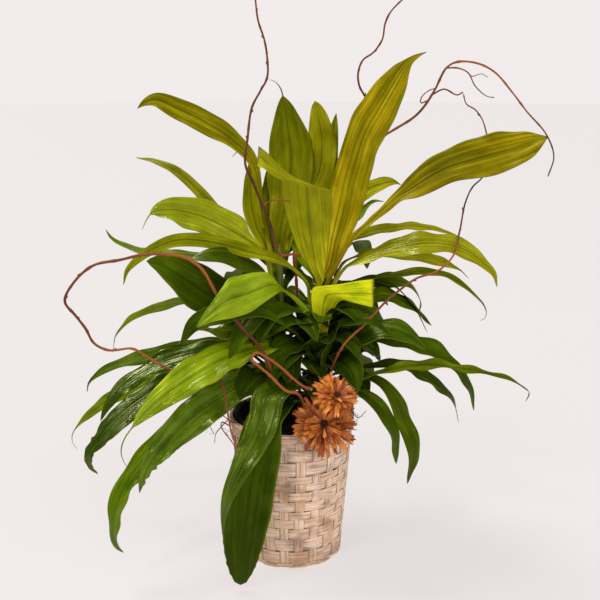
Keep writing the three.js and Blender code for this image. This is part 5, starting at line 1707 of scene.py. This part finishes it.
class CORN_PLANT_OT_add_twigs(bpy.types.Operator):
    """Add the curly willow twigs"""

    bl_idname = "corn_plant.add_twigs"
    bl_label = "Willow Twigs"

    def execute(self, context):
        rng = np.random.default_rng(71)
        material = finish("willow_bark", willow_bark, settings(context.scene.plant_trimmings))
        for name, (root, tip, ripe, route, side_twigs) in TWIGS.items():
            shape = Shape()
            path = twig_shape(shape, route, root, tip, ripe, rng, cut=1.0)
            buds(shape, *path, ripe, rng)
            for side_root, side_tip, side_route in side_twigs:
                twig_shape(shape, side_route, side_root, side_tip, ripe + 0.25, rng, sides=6, step=4)
            shape.build(name.replace("willow", "twig"), material, "willow", (name,))
        return {"FINISHED"}


class CORN_PLANT_OT_add_flowers(bpy.types.Operator):
    """Add the two dried flowers"""

    bl_idname = "corn_plant.add_flowers"
    bl_label = "Dried Flowers"

    def execute(self, context):
        look = settings(context.scene.plant_trimmings)
        rng = np.random.default_rng(83)
        petal_finish = finish("dried_petal", dried_petal, look)
        heart_finish = finish("flower_heart", flower_heart, look)
        bark = finish("willow_bark", willow_bark, look)
        for name, (middle, facing, radius, tone, stalk) in FLOWERS.items():
            to_world = flower_frame(middle, facing)
            flower, heart, stem = Shape(), Shape(), Shape()
            petals(flower, to_world, radius, tone, rng)
            heart_shape(heart, to_world, radius * HEART_SHARE, rng)
            twig_shape(stem, stalk, STALK_ROOT, STALK_TIP, STALK_RIPENESS, rng)
            flower.build(f"{name}_petals", petal_finish, "petal", (name,))
            heart.build(f"{name}_heart", heart_finish, "petal")
            stem.build(f"{name}_stalk", bark, "petal")
        return {"FINISHED"}


# ------------------------------------------------------------------------------------------
# Panel and registration
# ------------------------------------------------------------------------------------------

STEPS = [
    CORN_PLANT_OT_add_stage, CORN_PLANT_OT_add_basket, CORN_PLANT_OT_add_soil,
    CORN_PLANT_OT_add_canes, CORN_PLANT_OT_add_leaves, CORN_PLANT_OT_add_extra_leaves,
    CORN_PLANT_OT_add_twigs, CORN_PLANT_OT_add_flowers,
]

LOOKS = {
    "plant_leaves": LeafLook,
    "plant_basket": BasketLook,
    "plant_trimmings": TrimmingsLook,
    "plant_stage": StageLook,
}


class CORN_PLANT_PT_sidebar(bpy.types.Panel):
    """Buttons and settings for the potted corn plant"""

    bl_label = "Potted Corn Plant"
    bl_idname = "CORN_PLANT_PT_sidebar"
    bl_space_type = "VIEW_3D"
    bl_region_type = "UI"
    bl_category = "Plant"

    def draw(self, context):
        for step in STEPS:
            self.layout.operator(step.bl_idname)
        for name, group in LOOKS.items():
            box = self.layout.box()
            box.label(text=group.__doc__)
            for prop in group.__annotations__:
                box.prop(getattr(context.scene, name), prop)


def register():
    """Registers the settings, the operators and the panel."""
    for cls in (*LOOKS.values(), *STEPS, CORN_PLANT_PT_sidebar):
        bpy.utils.register_class(cls)
    for name, group in LOOKS.items():
        setattr(bpy.types.Scene, name, PointerProperty(type=group))


def unregister():
    """Takes back what register did."""
    for name in LOOKS:
        delattr(bpy.types.Scene, name)
    for cls in reversed((*LOOKS.values(), *STEPS, CORN_PLANT_PT_sidebar)):
        bpy.utils.unregister_class(cls)


def main():
    """Builds the whole plant and works out the size of the frame and of the finished model."""
    register()
    for step in STEPS:
        group, name = step.bl_idname.split(".")
        getattr(getattr(bpy.ops, group), name)()
    boxes = [[list(corner) for corner in box] for box in (cad_box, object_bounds())]


if __name__ == "__main__":
    main()
